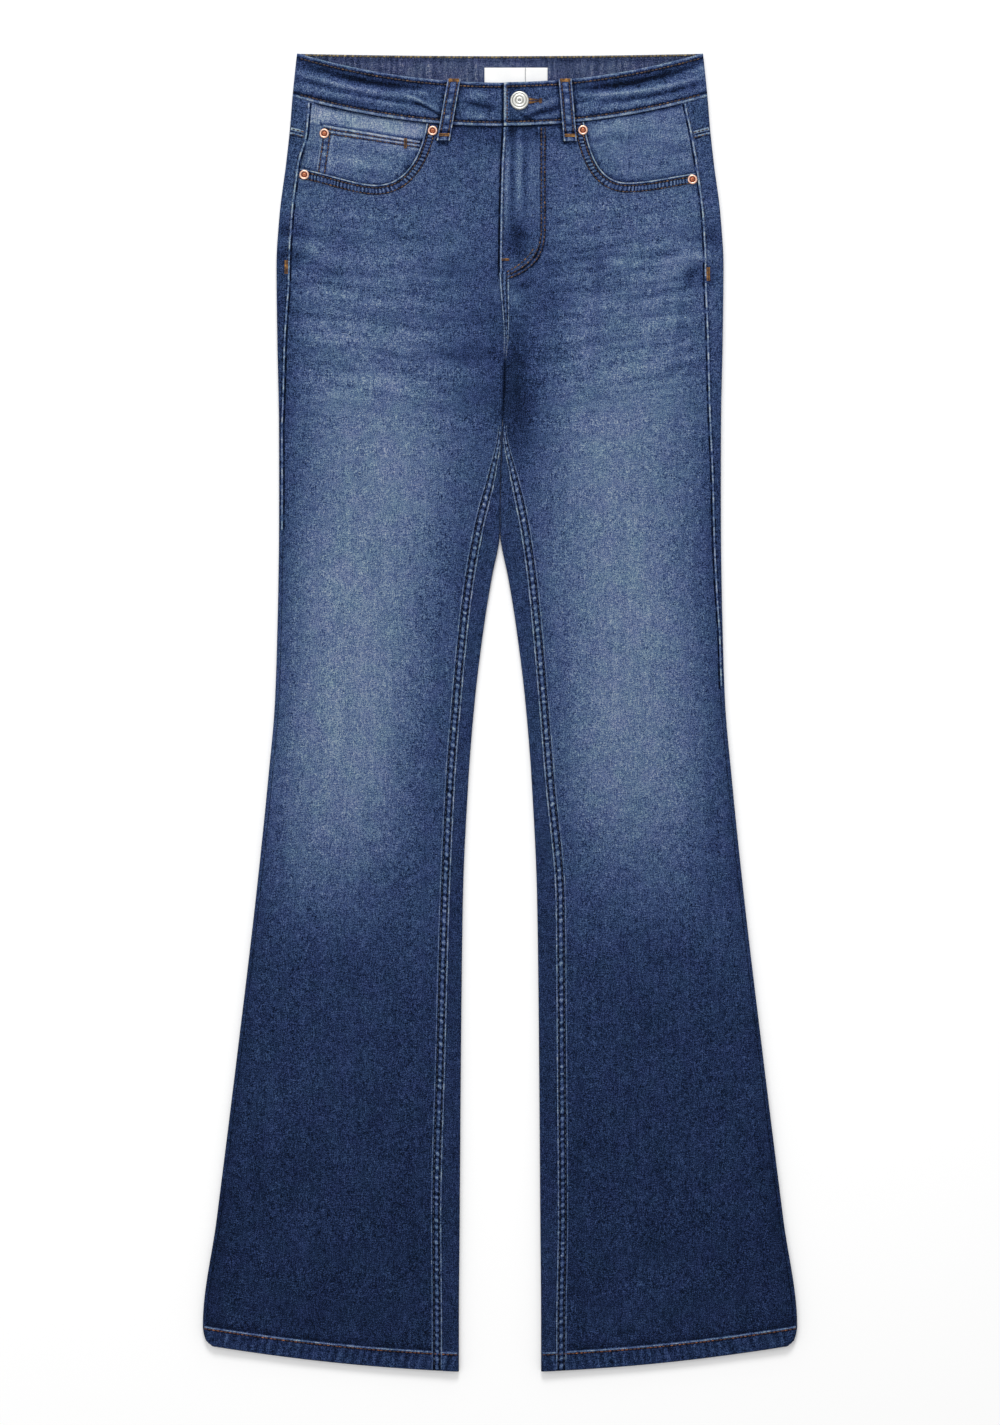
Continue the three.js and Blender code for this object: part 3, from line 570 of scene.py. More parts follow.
def fade(x, down):
    """How pale the cloth is at a place, from 0 to 1: a flat-topped bell across each half, less a
    bell at the side edge, partly painted shade where the cloth rolls away and partly less faded cloth."""
    right = x < 0
    curves = {name: curve(down) for name, curve in FADE_CURVES.items()}
    centre = np.where(right, curves["at_right"], curves["at_left"])
    palest = np.where(right, curves["middle_right"], curves["middle_left"])
    flat_topped = np.exp(-(np.abs((np.abs(x) - centre) / curves["reach"]) ** 3))
    # Painted shade where the cloth rolls over the side edge, together with its less faded cloth.
    rolled_shade_and_unfaded = bell(outer(down) - np.abs(x), SIDE_ROLL)
    return mix(curves["sides"], palest, flat_topped) - curves["edge"] * rolled_shade_and_unfaded


def shade(x, down):
    """Added to the fade: patches, creases and whiskers of the fronts. Much of it is painted shade and painted
    light of folds and puckers, with painted shadow beside the loops; the whiskers are wear.
    """
    dx, dy = x[..., None] - PATCHES["x"], down[..., None] - PATCHES["down"]
    bells = np.exp(-((dx / PATCHES["reach_x"]) ** 2) - (dy / PATCHES["reach_down"]) ** 2)
    patches = (PATCHES["shade"] * bells).sum(-1)
    return patches + crease_sum(x, down, "shade") + whisker_sum(x, down) + loop_shadow(x, down)


def loop_shadow(x, down):
    """Dark on both sides of each front loop: a bell curve of the distance from its edges."""
    total = 0.0
    for (x0, down0), (x1, down1) in FRONT_LOOPS.values():
        share = (down - down0) / (down1 - down0)
        off = np.abs(x - mix(x0, x1, share)) - LOOP_WIDTH / 2
        beside = bell(off - 0.4, 1.8) * (1 - smoothstep(np.abs(share - 0.5), 0.48, 0.53))
        below = bell(share - 1.03, 0.03) * (off < 0.6)
        total = total - 0.45 * np.maximum(beside, below)
    return total


def crumple(x, down):
    """Where the hips are crumpled, from 0 to 1: smooth steps down the garment and across it."""
    along = smoothstep(down, 118, 168) * (1 - smoothstep(down, 270, 330))
    return along * smoothstep(np.abs(x), 16, 60) * (1 - 0.5 * smoothstep(np.abs(x), 150, 175))


# ---------------------------------------------------------------- meshes


def linked(name, data, at=(0, 0, 0)):
    """A new object in the scene."""
    piece = bpy.data.objects.new(name, data)
    bpy.context.collection.objects.link(piece)
    piece.location = at
    return piece


def new_piece(name, points, faces, material, values=None):
    """A mesh object from points in millimetres, its faces turned to enclose a positive volume.
    values holds one number for each point under each attribute's name."""
    points = np.asarray(points, float).reshape(-1, 3)
    faces = np.asarray(faces)
    a, b, c = points[faces[:, 0]], points[faces[:, 1]], points[faces[:, 2]]
    volume = (a * np.cross(b, c)).sum()
    if faces.shape[1] == 4:
        volume += (a * np.cross(c, points[faces[:, 3]])).sum()
    if volume < 0:
        faces = faces[:, ::-1]
    mesh = bpy.data.meshes.new(name)
    mesh.vertices.add(len(points))
    mesh.vertices.foreach_set("co", (points * MM).astype(np.float32).ravel())
    corners = faces.shape[1]
    mesh.loops.add(faces.size)
    mesh.loops.foreach_set("vertex_index", faces.astype(np.int32).ravel())
    mesh.polygons.add(len(faces))
    mesh.polygons.foreach_set("loop_start", np.arange(0, faces.size, corners, dtype=np.int32))
    mesh.polygons.foreach_set("use_smooth", np.ones(len(faces), bool))
    for key, numbers in (values or {}).items():
        layer = mesh.attributes.new(key, "FLOAT", "POINT")
        layer.data.foreach_set("value", np.asarray(numbers, np.float32).ravel())
    mesh.update(calc_edges=True)
    mesh.validate()
    piece = linked(name, mesh)
    mesh.materials.append(material)
    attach(piece, "root")
    return piece


def dress(piece, node):
    """Hides the imported solid that the piece stands in for."""
    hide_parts(node)
    return piece


def joined_round(index):
    """A grid of point numbers whose first column comes again after its last."""
    return np.concatenate([index, index[:, :1]], axis=1)


def quads(index):
    """The four-sided faces between the rows and columns of a grid of point numbers."""
    corners = [index[:-1, :-1], index[1:, :-1], index[1:, 1:], index[:-1, 1:]]
    return np.stack(corners, axis=-1).reshape(-1, 4)


def wall(name, outside, inside, material, values_out, values_in=None):
    """A closed wall between two grids of points. values_in holds the inside's own values."""
    rows, count = outside.shape[:2]
    top, low = np.arange(2 * rows * count).reshape(2, rows, count)

    def rim(upper, lower):
        return np.stack([upper[:-1], lower[:-1], lower[1:], upper[1:]], axis=-1)

    faces = [quads(top), quads(low)[:, ::-1], rim(top[0, ::-1], low[0, ::-1]), rim(top[-1], low[-1])]
    faces += [rim(top[:, 0], low[:, 0]), rim(top[::-1, -1], low[::-1, -1])]
    values = {}
    for key, value in values_out.items():
        under = (values_in or values_out).get(key, 0.0)
        values[key] = np.concatenate([np.broadcast_to(v, (rows, count)).ravel() for v in (value, under)])
    points = np.concatenate([outside.reshape(-1, 3), inside.reshape(-1, 3)])
    return new_piece(name, points, np.concatenate(faces), material, values)


def slab(name, tops, thickness, material, values):
    """A wall whose thickness goes straight down from a grid of tops."""
    down = np.zeros_like(tops)
    down[..., 2] = thickness
    return wall(name, tops, tops - down, material, values)


# ---------------------------------------------------------------- materials


def srgb(red, green, blue):
    """A colour given in the screen's 0 to 255 as linear light."""
    c = np.array([red, green, blue]) / 255
    return (*np.where(c <= 0.04045, c / 12.92, ((c + 0.055) / 1.055) ** 2.4), 1.0)


class Nodes:
    """Adds nodes to a tree: values go to named sockets, and other nodes' outputs are linked."""

    def __init__(self, tree):
        self.tree = tree

    def fill(self, node, **sockets):
        """Gives sockets their values or links. A name such as i0 is a socket's number."""
        for key, value in sockets.items():
            numbered = key[0] == "i" and key[1:].isdigit()
            socket = node.inputs[int(key[1:]) if numbered else key.replace("_", " ")]
            if isinstance(value, bpy.types.NodeSocket):
                self.tree.links.new(value, socket)
            else:
                socket.default_value = value
        return node

    def add(self, kind, settings=None, **sockets):
        node = self.tree.nodes.new(f"ShaderNode{kind}")
        for key, value in (settings or {}).items():
            setattr(node, key, value)
        return self.fill(node, **sockets)

    def math(self, operation, a, b=0.0):
        return self.add("Math", {"operation": operation}, i0=a, i1=b).outputs[0]

    def plus(self, a, b):
        return self.math("ADD", a, b)

    def times(self, a, b):
        return self.math("MULTIPLY", a, b)

    def centred(self, value, amount):
        """A noise of mean one half, moved to mean 0 and made stronger."""
        return self.times(self.math("SUBTRACT", value, 0.5), amount)

    def spot(self):
        return self.add("TexCoord").outputs["Object"]

    def attribute(self, name):
        return self.add("Attribute", {"attribute_name": name}).outputs["Fac"]

    def noise(self, place, scale, detail=2.0, rough=0.5):
        node = self.add("TexNoise", None, Vector=place, Scale=scale, Detail=detail, Roughness=rough)
        return node.outputs["Fac"]

    def stretch(self, place, across, along, turn=0.0):
        node = self.add("Mapping", None, Vector=place, Scale=(across, along, across), Rotation=(0, 0, turn))
        return node.outputs[0]

    def ramp(self, factor, stops):
        """A colour that runs through stops of place and colour."""
        node = self.add("ValToRGB", None, Fac=factor)
        elements = node.color_ramp.elements
        while len(elements) < len(stops):
            elements.new(1.0)
        for element, (at, colour) in zip(elements, stops):
            element.position, element.color = at, srgb(*colour)
        return node.outputs["Color"]

    def tint(self, share, under, over):
        settings = {"data_type": "RGBA", "blend_type": "MULTIPLY"}
        return self.add("Mix", settings, Factor=share, A=under, B=over).outputs["Result"]

    def bump(self, strength, depth, height):
        """Relief of a depth in millimetres."""
        return self.add("Bump", None, Strength=strength, Distance=depth * MM, Height=height).outputs[0]


def new_group(name, inputs, outputs):
    """A node group with its inputs and outputs."""
    tree = bpy.data.node_groups.new(name, "ShaderNodeTree")
    for socket, default in inputs.items():
        entry = tree.interface.new_socket(socket, in_out="INPUT", socket_type="NodeSocketFloat")
        entry.default_value = default
    for socket, kind in outputs.items():
        tree.interface.new_socket(socket, in_out="OUTPUT", socket_type=kind)
    return tree, tree.nodes.new("NodeGroupInput"), tree.nodes.new("NodeGroupOutput")


def new_material(name):
    """A material, the means to add its nodes, and its shader."""
    material = bpy.data.materials.new(name)
    material.use_nodes = True
    n = Nodes(material.node_tree)
    return material, n, n.tree.nodes["Principled BSDF"]


# Indigo from the darkest cloth to bare cotton, as the share of wear divided by WEAR_SPAN.
WEAR_SPAN = 2.0
WEAR_OFFSET = 0.3
INDIGO = [
    (0.0, (5, 10, 23)),
    (0.15, (18, 30, 56)),
    (0.25, (36, 51, 87)),
    (0.40, (60, 79, 121)),
    (0.60, (94, 113, 146)),
    (0.75, (125, 142, 161)),
    (1.0, (180, 186, 188)),
]


def denim_cloth():
    """Node group: indigo twill worn to a given paleness. Its speckle is fine noise, its slubs are the
    same noise drawn out along and across the cloth, and its twill lines run up to the right. Crumple
    adds streaks that fan up to the sides, and Bare turns it to the greyer inside of the cloth."""
    tree, given, made = new_group(
        "denim_cloth",
        {"Fade": 0.5, "Speckle": 1.0, "Cloud": 1.0, "Crumple": 0.0, "Bare": 0.0},
        {"Colour": "NodeSocketColor", "Roughness": "NodeSocketFloat", "Height": "NodeSocketFloat"},
    )
    n, asked = Nodes(tree), given.outputs
    spot = n.spot()
    speckle = n.noise(spot, 1450.0, 2.0, 0.6)
    warp = n.noise(n.stretch(spot, 1300.0, 200.0), 1.0, 1.0)
    weft = n.noise(n.stretch(spot, 230.0, 1300.0), 1.0, 1.0)
    streak = n.noise(n.stretch(spot, 190.0, 6.0), 1.0, 2.0)
    blotch = n.noise(spot, 130.0, 3.0, 0.6)
    cloud = n.noise(spot, 17.0, 3.0, 0.55)
    axes = n.add("SeparateXYZ", None, Vector=spot).outputs
    fanned = n.math("SUBTRACT", axes["Y"], n.times(n.math("ABSOLUTE", axes["X"]), 0.11))
    fan = n.add("CombineXYZ", None, X=n.times(axes["X"], 17.0), Y=n.times(fanned, 120.0))
    crumpled = n.times(n.centred(n.noise(fan.outputs[0], 1.0, 3.0, 0.6), 1.1), asked["Crumple"])
    slant = n.stretch(spot, 1.0, 1.0, 0.96)
    lines = {"wave_type": "BANDS", "bands_direction": "X"}
    twill = n.add("TexWave", lines, Vector=slant, Scale=310.0, Distortion=1.5, Detail=1.0, Detail_Scale=2.0)
    twill = twill.outputs["Fac"]
    fine = n.plus(n.centred(speckle, 3.9), n.plus(n.centred(warp, 0.9), n.centred(weft, 0.8)))
    fine = n.times(n.plus(fine, n.centred(twill, 0.12)), asked["Speckle"])
    broad = n.plus(n.centred(cloud, 0.22), n.plus(n.centred(blotch, 0.44), n.centred(streak, 0.2)))
    broad = n.times(n.plus(broad, crumpled), asked["Cloud"])
    # Dark cloth shows less of its pattern than faded cloth.
    contrast = n.plus(0.66, n.times(asked["Fade"], 0.6))
    contrast = n.math("MINIMUM", n.math("MAXIMUM", contrast, 0.55), 0.98)
    worn_and_shaded = n.plus(n.plus(asked["Fade"], WEAR_OFFSET), n.times(n.plus(fine, broad), contrast))
    colour = n.ramp(n.math("DIVIDE", worn_and_shaded, WEAR_SPAN), INDIGO)
    hue = n.ramp(n.noise(spot, 48.0), [(0.3, (250, 246, 255)), (0.7, (244, 255, 250))])
    n.fill(
        made,
        Colour=n.tint(asked["Bare"], n.tint(1.0, colour, hue), srgb(255, 233, 227)),
        Roughness=n.plus(0.86, n.centred(speckle, 0.12)),
        Height=n.plus(n.times(speckle, 0.6), n.times(twill, 0.4)),
    )
    return tree


DENIM_CLOTH = denim_cloth()


def denim(name, speckle=1.0, cloud=1.0):
    """Denim whose paleness is the sum of two mesh attributes: the fade, and a second one that holds worn pale
    lines together with painted shade and painted light.
    """
    material, n, shader = new_material(name)
    # The second attribute holds painted shade and painted light as well as wear.
    worn_and_shaded = n.plus(n.attribute("fade"), n.attribute("wear"))
    folds = dict(Crumple=n.attribute("crumple"), Bare=n.attribute("bare"))
    group = n.add("Group", {"node_tree": DENIM_CLOTH}, Fade=worn_and_shaded, Speckle=speckle, Cloud=cloud, **folds)
    cloth_made = group.outputs
    bump = n.bump(0.5, 0.25, cloth_made["Height"])
    n.fill(shader, Base_Color=cloth_made["Colour"], Roughness=cloth_made["Roughness"], Normal=bump)
    n.fill(shader, Specular_IOR_Level=0.04)
    return material


def thread(name, dark, mid, light):
    """Sewing thread: three shades mixed by the noise of its twist, the lightest the rarest."""
    material, n, shader = new_material(name)
    spot = n.spot()
    shades = n.ramp(n.noise(spot, 260.0, 3.0, 0.7), [(0.38, dark), (0.55, mid), (0.68, light)])
    rough = n.plus(0.55, n.times(n.noise(spot, 900.0), 0.2))
    n.fill(shader, Base_Color=shades, Roughness=rough, Normal=n.bump(0.4, 0.1, n.noise(spot, 2200.0, 1.0)))
    return material


def tape(name, colour, shadow):
    """Woven tape: fine ribs along and across, each a wave."""
    material, n, shader = new_material(name)
    spot = n.spot()
    along, across = (
        n.add("TexWave", {"bands_direction": way}, Vector=spot, Scale=380.0, Distortion=0.4).outputs["Fac"]
        for way in ("X", "Y")
    )
    weave = n.times(along, across)
    mottled = n.plus(n.times(weave, 0.5), n.times(n.noise(spot, 60.0), 0.5))
    rough = n.plus(0.66, n.times(weave, 0.2))
    shades = n.ramp(mottled, [(0.1, shadow), (0.6, colour)])
    n.fill(shader, Base_Color=shades, Roughness=rough, Normal=n.bump(0.5, 0.1, weave))
    return material


def metal(name, colour, shadow, rough, relief=0.25, sunk=(120, 92, 86)):
    """Satin metal, duller and darker in patches where it has tarnished, and dark in its grooves."""
    material, n, shader = new_material(name)
    spot = n.spot()
    patches = n.noise(spot, 500.0, 3.0, 0.6)
    toned = n.tint(n.attribute("groove"), n.ramp(patches, [(0.3, shadow), (0.55, colour)]), srgb(*sunk))
    bump = n.bump(relief, 0.05, n.noise(spot, 1800.0))
    rough = n.plus(rough, n.times(patches, 0.2))
    n.fill(shader, Base_Color=toned, Metallic=1.0, Roughness=rough, Normal=bump)
    return material


DENIM = denim("denim_indigo")
DENIM_BAND = denim("denim_waistband", cloud=1.5)
DENIM_SEAM = denim("denim_seam", speckle=0.9, cloud=0.7)
THREAD_BROWN = thread("thread_brown", (26, 24, 36), (70, 53, 48), (140, 104, 64))
THREAD_GOLD = thread("thread_gold", (70, 48, 32), (134, 92, 42), (200, 148, 70))
THREAD_KHAKI = thread("thread_khaki", (50, 48, 50), (116, 102, 72), (172, 152, 106))
THREAD_RUST = thread("thread_rust", (34, 24, 28), (92, 52, 34), (170, 104, 56))
THREAD_BLUE = thread("thread_blue", (22, 30, 52), (46, 60, 90), (92, 110, 138))
LABEL_WHITE = tape("label_white", (246, 246, 244), (226, 227, 228))
ZIP_NAVY = tape("zip_navy", (38, 50, 84), (20, 27, 48))
SILVER = metal("silver_satin", (214, 214, 210), (198, 198, 192), 0.36, 0.06, (190, 190, 187))
COPPER = metal("copper_satin", (250, 208, 186), (238, 182, 156), 0.25)
COPPER_DARK = metal("copper_dark", (222, 148, 114), (186, 108, 78), 0.4)


# ---------------------------------------------------------------- stitches


def stitches(name, rows, material, slot="denim_trim", thick=0.85, length=2.5, pitch=3.3, facing=1):
    """Sewn stitches joined to one mesh. Each is a six-sided bead along its row: rings that swell by
    the square root of a half sine, half sunk in the cloth. rows are paths of points on the cloth."""
    shares = np.array([0.0, 0.3, 0.7, 1.0])
    swell = np.array([0.3, 0.95, 0.95, 0.3]) * thick / 2
    angles = np.arange(6) * np.pi / 3
    between = (1 - length / pitch) / 2
    paths = [evenly(path, pitch) for path in rows]
    a = np.concatenate([mix(path[:-1], path[1:], between) for path in paths])
    b = np.concatenate([mix(path[:-1], path[1:], 1 - between) for path in paths])
    along = (b - a) / np.maximum(np.linalg.norm(b - a, axis=1, keepdims=True), 1e-6)
    across = np.cross(along, (0, 0, facing))
    across /= np.linalg.norm(across, axis=1, keepdims=True)
    up = np.cross(across, along)
    centre = mix(a[:, None], b[:, None], shares[None, :, None])
    arch = np.sin(np.pi * shares) * thick * 0.16 - thick * 0.02
    centre = centre + up[:, None] * arch[None, :, None]
    ring = across[:, None] * np.cos(angles)[None, :, None] + up[:, None] * np.sin(angles)[None, :, None]
    points = centre[:, :, None] + ring[:, None] * swell[None, :, None, None]
    count, rings, corners = points.shape[:3]
    index = joined_round(np.arange(rings * corners).reshape(rings, corners))
    caps = [index[0, [0, 1, 2, 3]], index[0, [0, 3, 4, 5]], index[-1, [3, 2, 1, 0]], index[-1, [5, 4, 3, 0]]]
    bead = np.concatenate([quads(index), caps])
    faces = (bead[None] + np.arange(count)[:, None, None] * rings * corners).reshape(-1, 4)
    piece = new_piece(name, points, faces, material)
    return piece


def bar_tack(start, end, width, count):
    """Rows for a bar tack: a dense zigzag of short stitches across a line from start to end."""
    start, end = np.asarray(start, float), np.asarray(end, float)
    along = end - start
    across = np.array([-along[1], along[0], 0]) / np.linalg.norm(along[:2]) * width / 2
    spots = [mix(start, end, t) for t in np.linspace(0, 1, count)]
    return [np.array([spot - across, spot + across]) for spot in spots]


def tacks(name, groups, material, slot="denim_trim", facing=1):
    """All bar tacks of one kind as one mesh, each of their long stitches in two beads."""
    rows = np.array([row for group in groups for row in group])
    half = float(np.linalg.norm(rows[:, 1] - rows[:, 0], axis=1).mean()) / 2
    paths = np.stack([rows[:, 0], rows.mean(1), rows[:, 1]], axis=1)
    return stitches(name, paths, material, slot, thick=0.8, length=half * 0.98, pitch=half, facing=facing)


# ---------------------------------------------------------------- panels


def row_spread(start, end, step, extra=()):
    """Rows about a step apart, with extra ones closer together where the shape needs them."""
    rows = np.linspace(start, end, int((end - start) / step) + 1)
    return np.unique(np.round(np.concatenate([rows, np.asarray(extra, float)]), 3))


def fly_rise(side, row, from_edge):
    """How far the fly stands up, and how far the right front sinks under it."""
    if side == 1:
        share = 1 - smoothstep(row, 205, 230)
        return FLY_RISE * share * (1 - smoothstep(from_edge, FLY_WIDTH, FLY_WIDTH + 4))
    return -GAP * (1 - smoothstep(row, 205, 230)) * (1 - smoothstep(from_edge, 1, 6))


def front_edge(side, row):
    """Out of the front panel's inner edge: the middle, the underlap of the right one, or the inseam."""
    lap = (UNDERLAP + GAP / 2) * (1 - smoothstep(row, 187, 205)) if side == -1 else 0.0
    above = side * middle(middle_down(row)) + GAP / 2 - lap
    return np.where(below_crotch(row), inseam(side, row) + GAP / 2, above)


def panel_height(side, out, row):
    """Height of a front panel: the bare surface, and the fly's rise where it lies double."""
    from_edge = out - side * middle(middle_down(row))
    fly = np.where(below_crotch(row), 0.0, fly_rise(side, row, from_edge))
    return top_height(side, out, row) + fly


def pocket_edge_path(side, away=0.0, step=1.2):
    """Out and down of points along a pocket's edge, moved away from the opening."""
    a, b, c, d, e, f, g = POCKET_CURVES[side]
    path = evenly(np.concatenate([bezier((a, b, c, d), 40), bezier((d, e, f, g), 40)[1:]]), step)
    path = path + sideways(path) * away
    down, out = path[:, 1], path[:, 0]
    row = row_of(down, out)
    keep = (row > BAND_HEIGHT + 0.4) & (out < side_seam(side, row) - GAP)
    return path[keep]


def front_panel(side, name):
    """The front: columns run from the pocket's edge and the waist seam to the hem. Each starts where
    its top edge is, and by fan_end it has its even share of the width."""
    fan_end = 150.0
    top_edge = pocket_edge_path(side, 0.0, 1.8)[::-1]
    corner_out = top_edge[-1, 0]
    waist_out = np.linspace(corner_out, front_edge(side, BAND_HEIGHT), 30)[1:]
    waist_row = np.full(len(waist_out), BAND_HEIGHT + GAP / 2)
    out0 = np.concatenate([top_edge[:, 0], waist_out])
    row0 = np.concatenate([row_of(top_edge[:, 1], top_edge[:, 0]), waist_row])
    row0 = np.maximum(row0, BAND_HEIGHT + GAP / 2)
    arc = np.r_[0, np.cumsum(np.hypot(np.diff(out0), np.diff(row0)))]
    even = arc / arc[-1]

    def edges(row):
        return side_seam(side, row) - GAP / 2, front_edge(side, row)

    seam0, edge0 = edges(row0)
    share0 = np.clip((seam0 - out0) / (seam0 - edge0), 0, 1)
    share0[0], share0[-1] = 0, 1
    steps = np.r_[0, 0.006, 0.02, 0.04, np.linspace(0.065, 1, 34)]
    fan_rows = mix(row0[None, :], fan_end, steps[:, None])
    fan_share = mix(share0[None, :], even[None, :], smoothstep(steps, 0.0, 1.0)[:, None])
    leg_rows = row_spread(fan_end + 3, HEM_AT_SIDE, 4.0, (CROTCH, CROTCH + 1.5, HEM_RIDGE - 1, HEM_RIDGE + 1))
    row = np.concatenate([fan_rows, np.repeat(leg_rows[:, None], len(even), axis=1)])
    share = np.concatenate([fan_share, np.repeat(even[None, :], len(leg_rows), axis=0)])
    seam, edge = edges(row)
    out = mix(seam, edge, share)
    top = panel_height(side, out, row)
    top[0] -= 0.35
    top[:, 0] -= 0.3
    top[-1] -= 0.5
    x, down = side * out, front_down(row, out)
    values = panel_values(x, down, row)
    tops = place(x, down, top)
    bottoms = place(x, down, top - wall_at(row))
    inside = {"fade": values["fade"] * INSIDE_LEFT}
    return dress(wall(name, tops, bottoms, DENIM, values, inside), name)


def panel_values(x, down, row):
    """Fade, wear with painted shade, and crumple of a panel's face: bell curves paint shadow just under
    the waistband and shade just above the hem's ridge."""
    wear = shade(x, down) - 0.05 * smoothstep(row, HEM_RIDGE - 4, HEM_RIDGE)
    # Painted shadow under the waistband's seam, and painted shade above the hem's ridge.
    wear = wear - 0.6 * bell(row - BAND_HEIGHT, 2.4) - 0.12 * bell(row - HEM_RIDGE + 1.5, 2.5)
    return {"fade": fade(x, down), "wear": wear, "crumple": crumple(x, down)}


def back_section(side, row):
    """The section of a back panel at each row: from the side seam on top, round the outer fold, along
    the surface, and below the crotch round the inner fold up to the inseam. Gives out and z of its
    outside, the way that it faces, how far it has turned under, and where its inner edge ends."""
    row = np.asarray(row, float)[:, None]
    edge, rest, low = outer(row), lift_under(row), below_crotch(row)
    radius = (FOLD + HEM_RISE * hem_share(row) - SEAM_UNDER * (1 - hip_share(row))) / 2
    parts = []

    def part(*arrays):
        parts.append(np.broadcast_arrays(*(array + 0 * row for array in arrays)))

    out = mix(side_seam(side, row) + GAP / 2, edge - radius, np.linspace(0, 1, 9)[None, :])
    part(out, top_height(side, out, row), 0.0, 1.0, 0.0)
    turn = np.linspace(0, 1, 10)[None, 1:-1]
    angle = np.pi * (0.5 - turn)
    crown = top_height(side, edge - radius, row) - (rest + 2 * radius)
    fold_z = rest + radius * (1 + np.sin(angle)) + crown * np.clip(np.sin(angle), 0, 1)
    part(edge - radius + radius * np.cos(angle), fold_z, np.cos(angle), np.sin(angle), turn)
    seat = side * middle(row) * smoothstep(row, 250, CROTCH) + GAP / 2
    inside = np.where(low, inner_edge(side, row), seat)
    share = np.linspace(0, 1, 48)[None, :]
    out = mix(edge - radius, inside + radius, share)
    lifted = crease_sum(side * out, row, "rise", BACK_CREASES)
    part(out, rest + lifted * np.sin(np.pi * share) ** 0.3, 0.0, -1.0, 1.0)
    limit = np.maximum(inseam(side, row) - GAP / 2, inside + 0.05)
    lap = limit - inside
    whole = lap > radius
    turned = np.where(whole, np.pi, np.pi / 2 + np.arccos(np.clip(1 - lap / radius, -1, 1)))
    turned = np.where(low, turned, 0.0)
    arc, flat = turned * radius, np.where(low & whole, lap - radius, 0.0)
    along = np.linspace(0, 1, 24)[None, 1:] * np.where(low, arc + flat, radius)
    angle = -np.pi / 2 - np.minimum(along / radius, turned)
    past = np.maximum(along - arc, 0)
    out = np.where(low, inside + radius + radius * np.cos(angle) + past, inside + radius - along)
    crown = (top_height(side, inside + radius, row) - rest - 2 * radius) * whole
    arc_z = rest + radius * (1 + np.sin(angle)) + crown * np.clip(np.sin(angle), 0, 1)
    z = np.where(low & (past > 0), top_height(side, out, row), np.where(low, arc_z, rest))
    under = np.where(low, np.clip(1 + (angle + np.pi / 2) / np.pi, 0, 1), 1.0)
    part(out, z, np.where(low, np.cos(angle), 0.0), np.where(low, np.sin(angle), -1.0), under)
    return (*(np.concatenate(pieces, axis=1) for pieces in zip(*parts)), np.where(low, limit, 1e3))


def back_wall(name, side, rows):
    """A back panel or yoke, as a wall that follows its section down the garment."""
    out, z, across, up, under, limit = back_section(side, rows)
    row = np.broadcast_to(np.asarray(rows, float)[:, None], out.shape)
    down = mix(front_down(row, out), back_down(row, out), under)
    outside = place(side * out, down, z)
    thick = wall_at(row)
    count = out.shape[1]
    turned_in = (np.arange(count)[None, :] > count / 2) & (up > 0)
    kept = out - thick * across
    kept = np.where(turned_in, np.minimum(kept, limit), kept)
    inside = place(side * kept, down, z - thick * up)
    values = back_values(side, out, row, down, under)
    piece = wall(name, outside, inside, DENIM, values, {"fade": values["fade"] * INSIDE_LEFT})
    return dress(piece, name)


def back_values(side, out, row, down, under):
    """Fade and wear of the back: its own soft fade over the seat and thigh, dark at the inside leg,
    the fronts' fade and painted shade where it has wrapped round to the top, and painted shade in its
    creases."""
    x = side * out
    seat = 0.5 * np.exp(-(((out - 95) / 60) ** 2) - ((down - 190) / 110) ** 2)
    faded_down = (1 - smoothstep(down, 480, 760)) * smoothstep(down, 150, 320)
    thigh = 0.42 * bell(out - 110, 55) * faded_down
    back = 0.16 + np.maximum(seat, thigh) * 0.9 - 0.1 * smoothstep(down, 700, 900)
    inside_leg = (out < (inseam(side, row) + 12)) & below_crotch(row)
    wrapped = fade(x, down) * 0.82 + shade(x, down)
    front = np.where(inside_leg, 0.18 - 0.12 * smoothstep(down, 560, 860), wrapped)
    creased = 0.06 * wobble(down + 0.4 * out, 5, 34) * hip_share(down)
    # Painted shade in the underside's creases.
    wear = crease_sum(x, down, "shade", BACK_CREASES) * under
    return {"fade": mix(front, back + creased, under), "wear": wear}


# ---------------------------------------------------------------- seam bands

# A seam across its width: where its pale and dark lines lie as shares of the width, how far each
# reaches, and how much paler or darker it is. The pale lines are worn ridges; the dark ones are
# painted shade in the stitch grooves and beside the raised edges.
SEAM_LINES = {
    kind: columns("at half wear", *rows)
    for kind, rows in dict(
        pocket=[
            (0.03, 0.06, 1.1), (0.15, 0.05, -0.4), (0.27, 0.085, -1.0),
            (0.55, 0.15, -0.15), (0.82, 0.085, -1.0), (0.98, 0.06, 0.4),
        ],
        inseam=[
            (0, 0.05, -0.7), (0.1, 0.06, 1.2), (0.24, 0.085, -1.2),
            (0.49, 0.2, 0.3), (0.76, 0.09, -1.1), (0.94, 0.06, 0.7),
        ],
        hem=[(0.02, 0.05, 0.2), (0.3, 0.2, 0.04), (0.85, 0.04, -0.7), (0.93, 0.034, 1.0)],
        outseam=[(0.2, 0.15, -0.75), (0.5, 0.12, 0.9), (0.78, 0.1, -0.4)],
        yoke=[
            (0.02, 0.09, -1.0), (0.26, 0.16, 0.7), (0.52, 0.08, -0.9),
            (0.7, 0.08, 0.55), (0.9, 0.08, -0.9),
        ],
        fly=[(0.18, 0.17, -1.0), (0.47, 0.12, 1.0), (0.72, 0.1, -0.5)],
        felled=[
            (0.0, 0.05, -0.7), (0.13, 0.07, 1.1), (0.3, 0.09, -0.7),
            (0.52, 0.12, 0.35), (0.74, 0.09, -0.7), (0.9, 0.07, 1.1),
        ],
        topstitch=[(0.27, 0.13, -0.65), (0.46, 0.1, 0.1), (0.65, 0.13, -0.65), (0.95, 0.1, 0.12)],
    ).items()
}

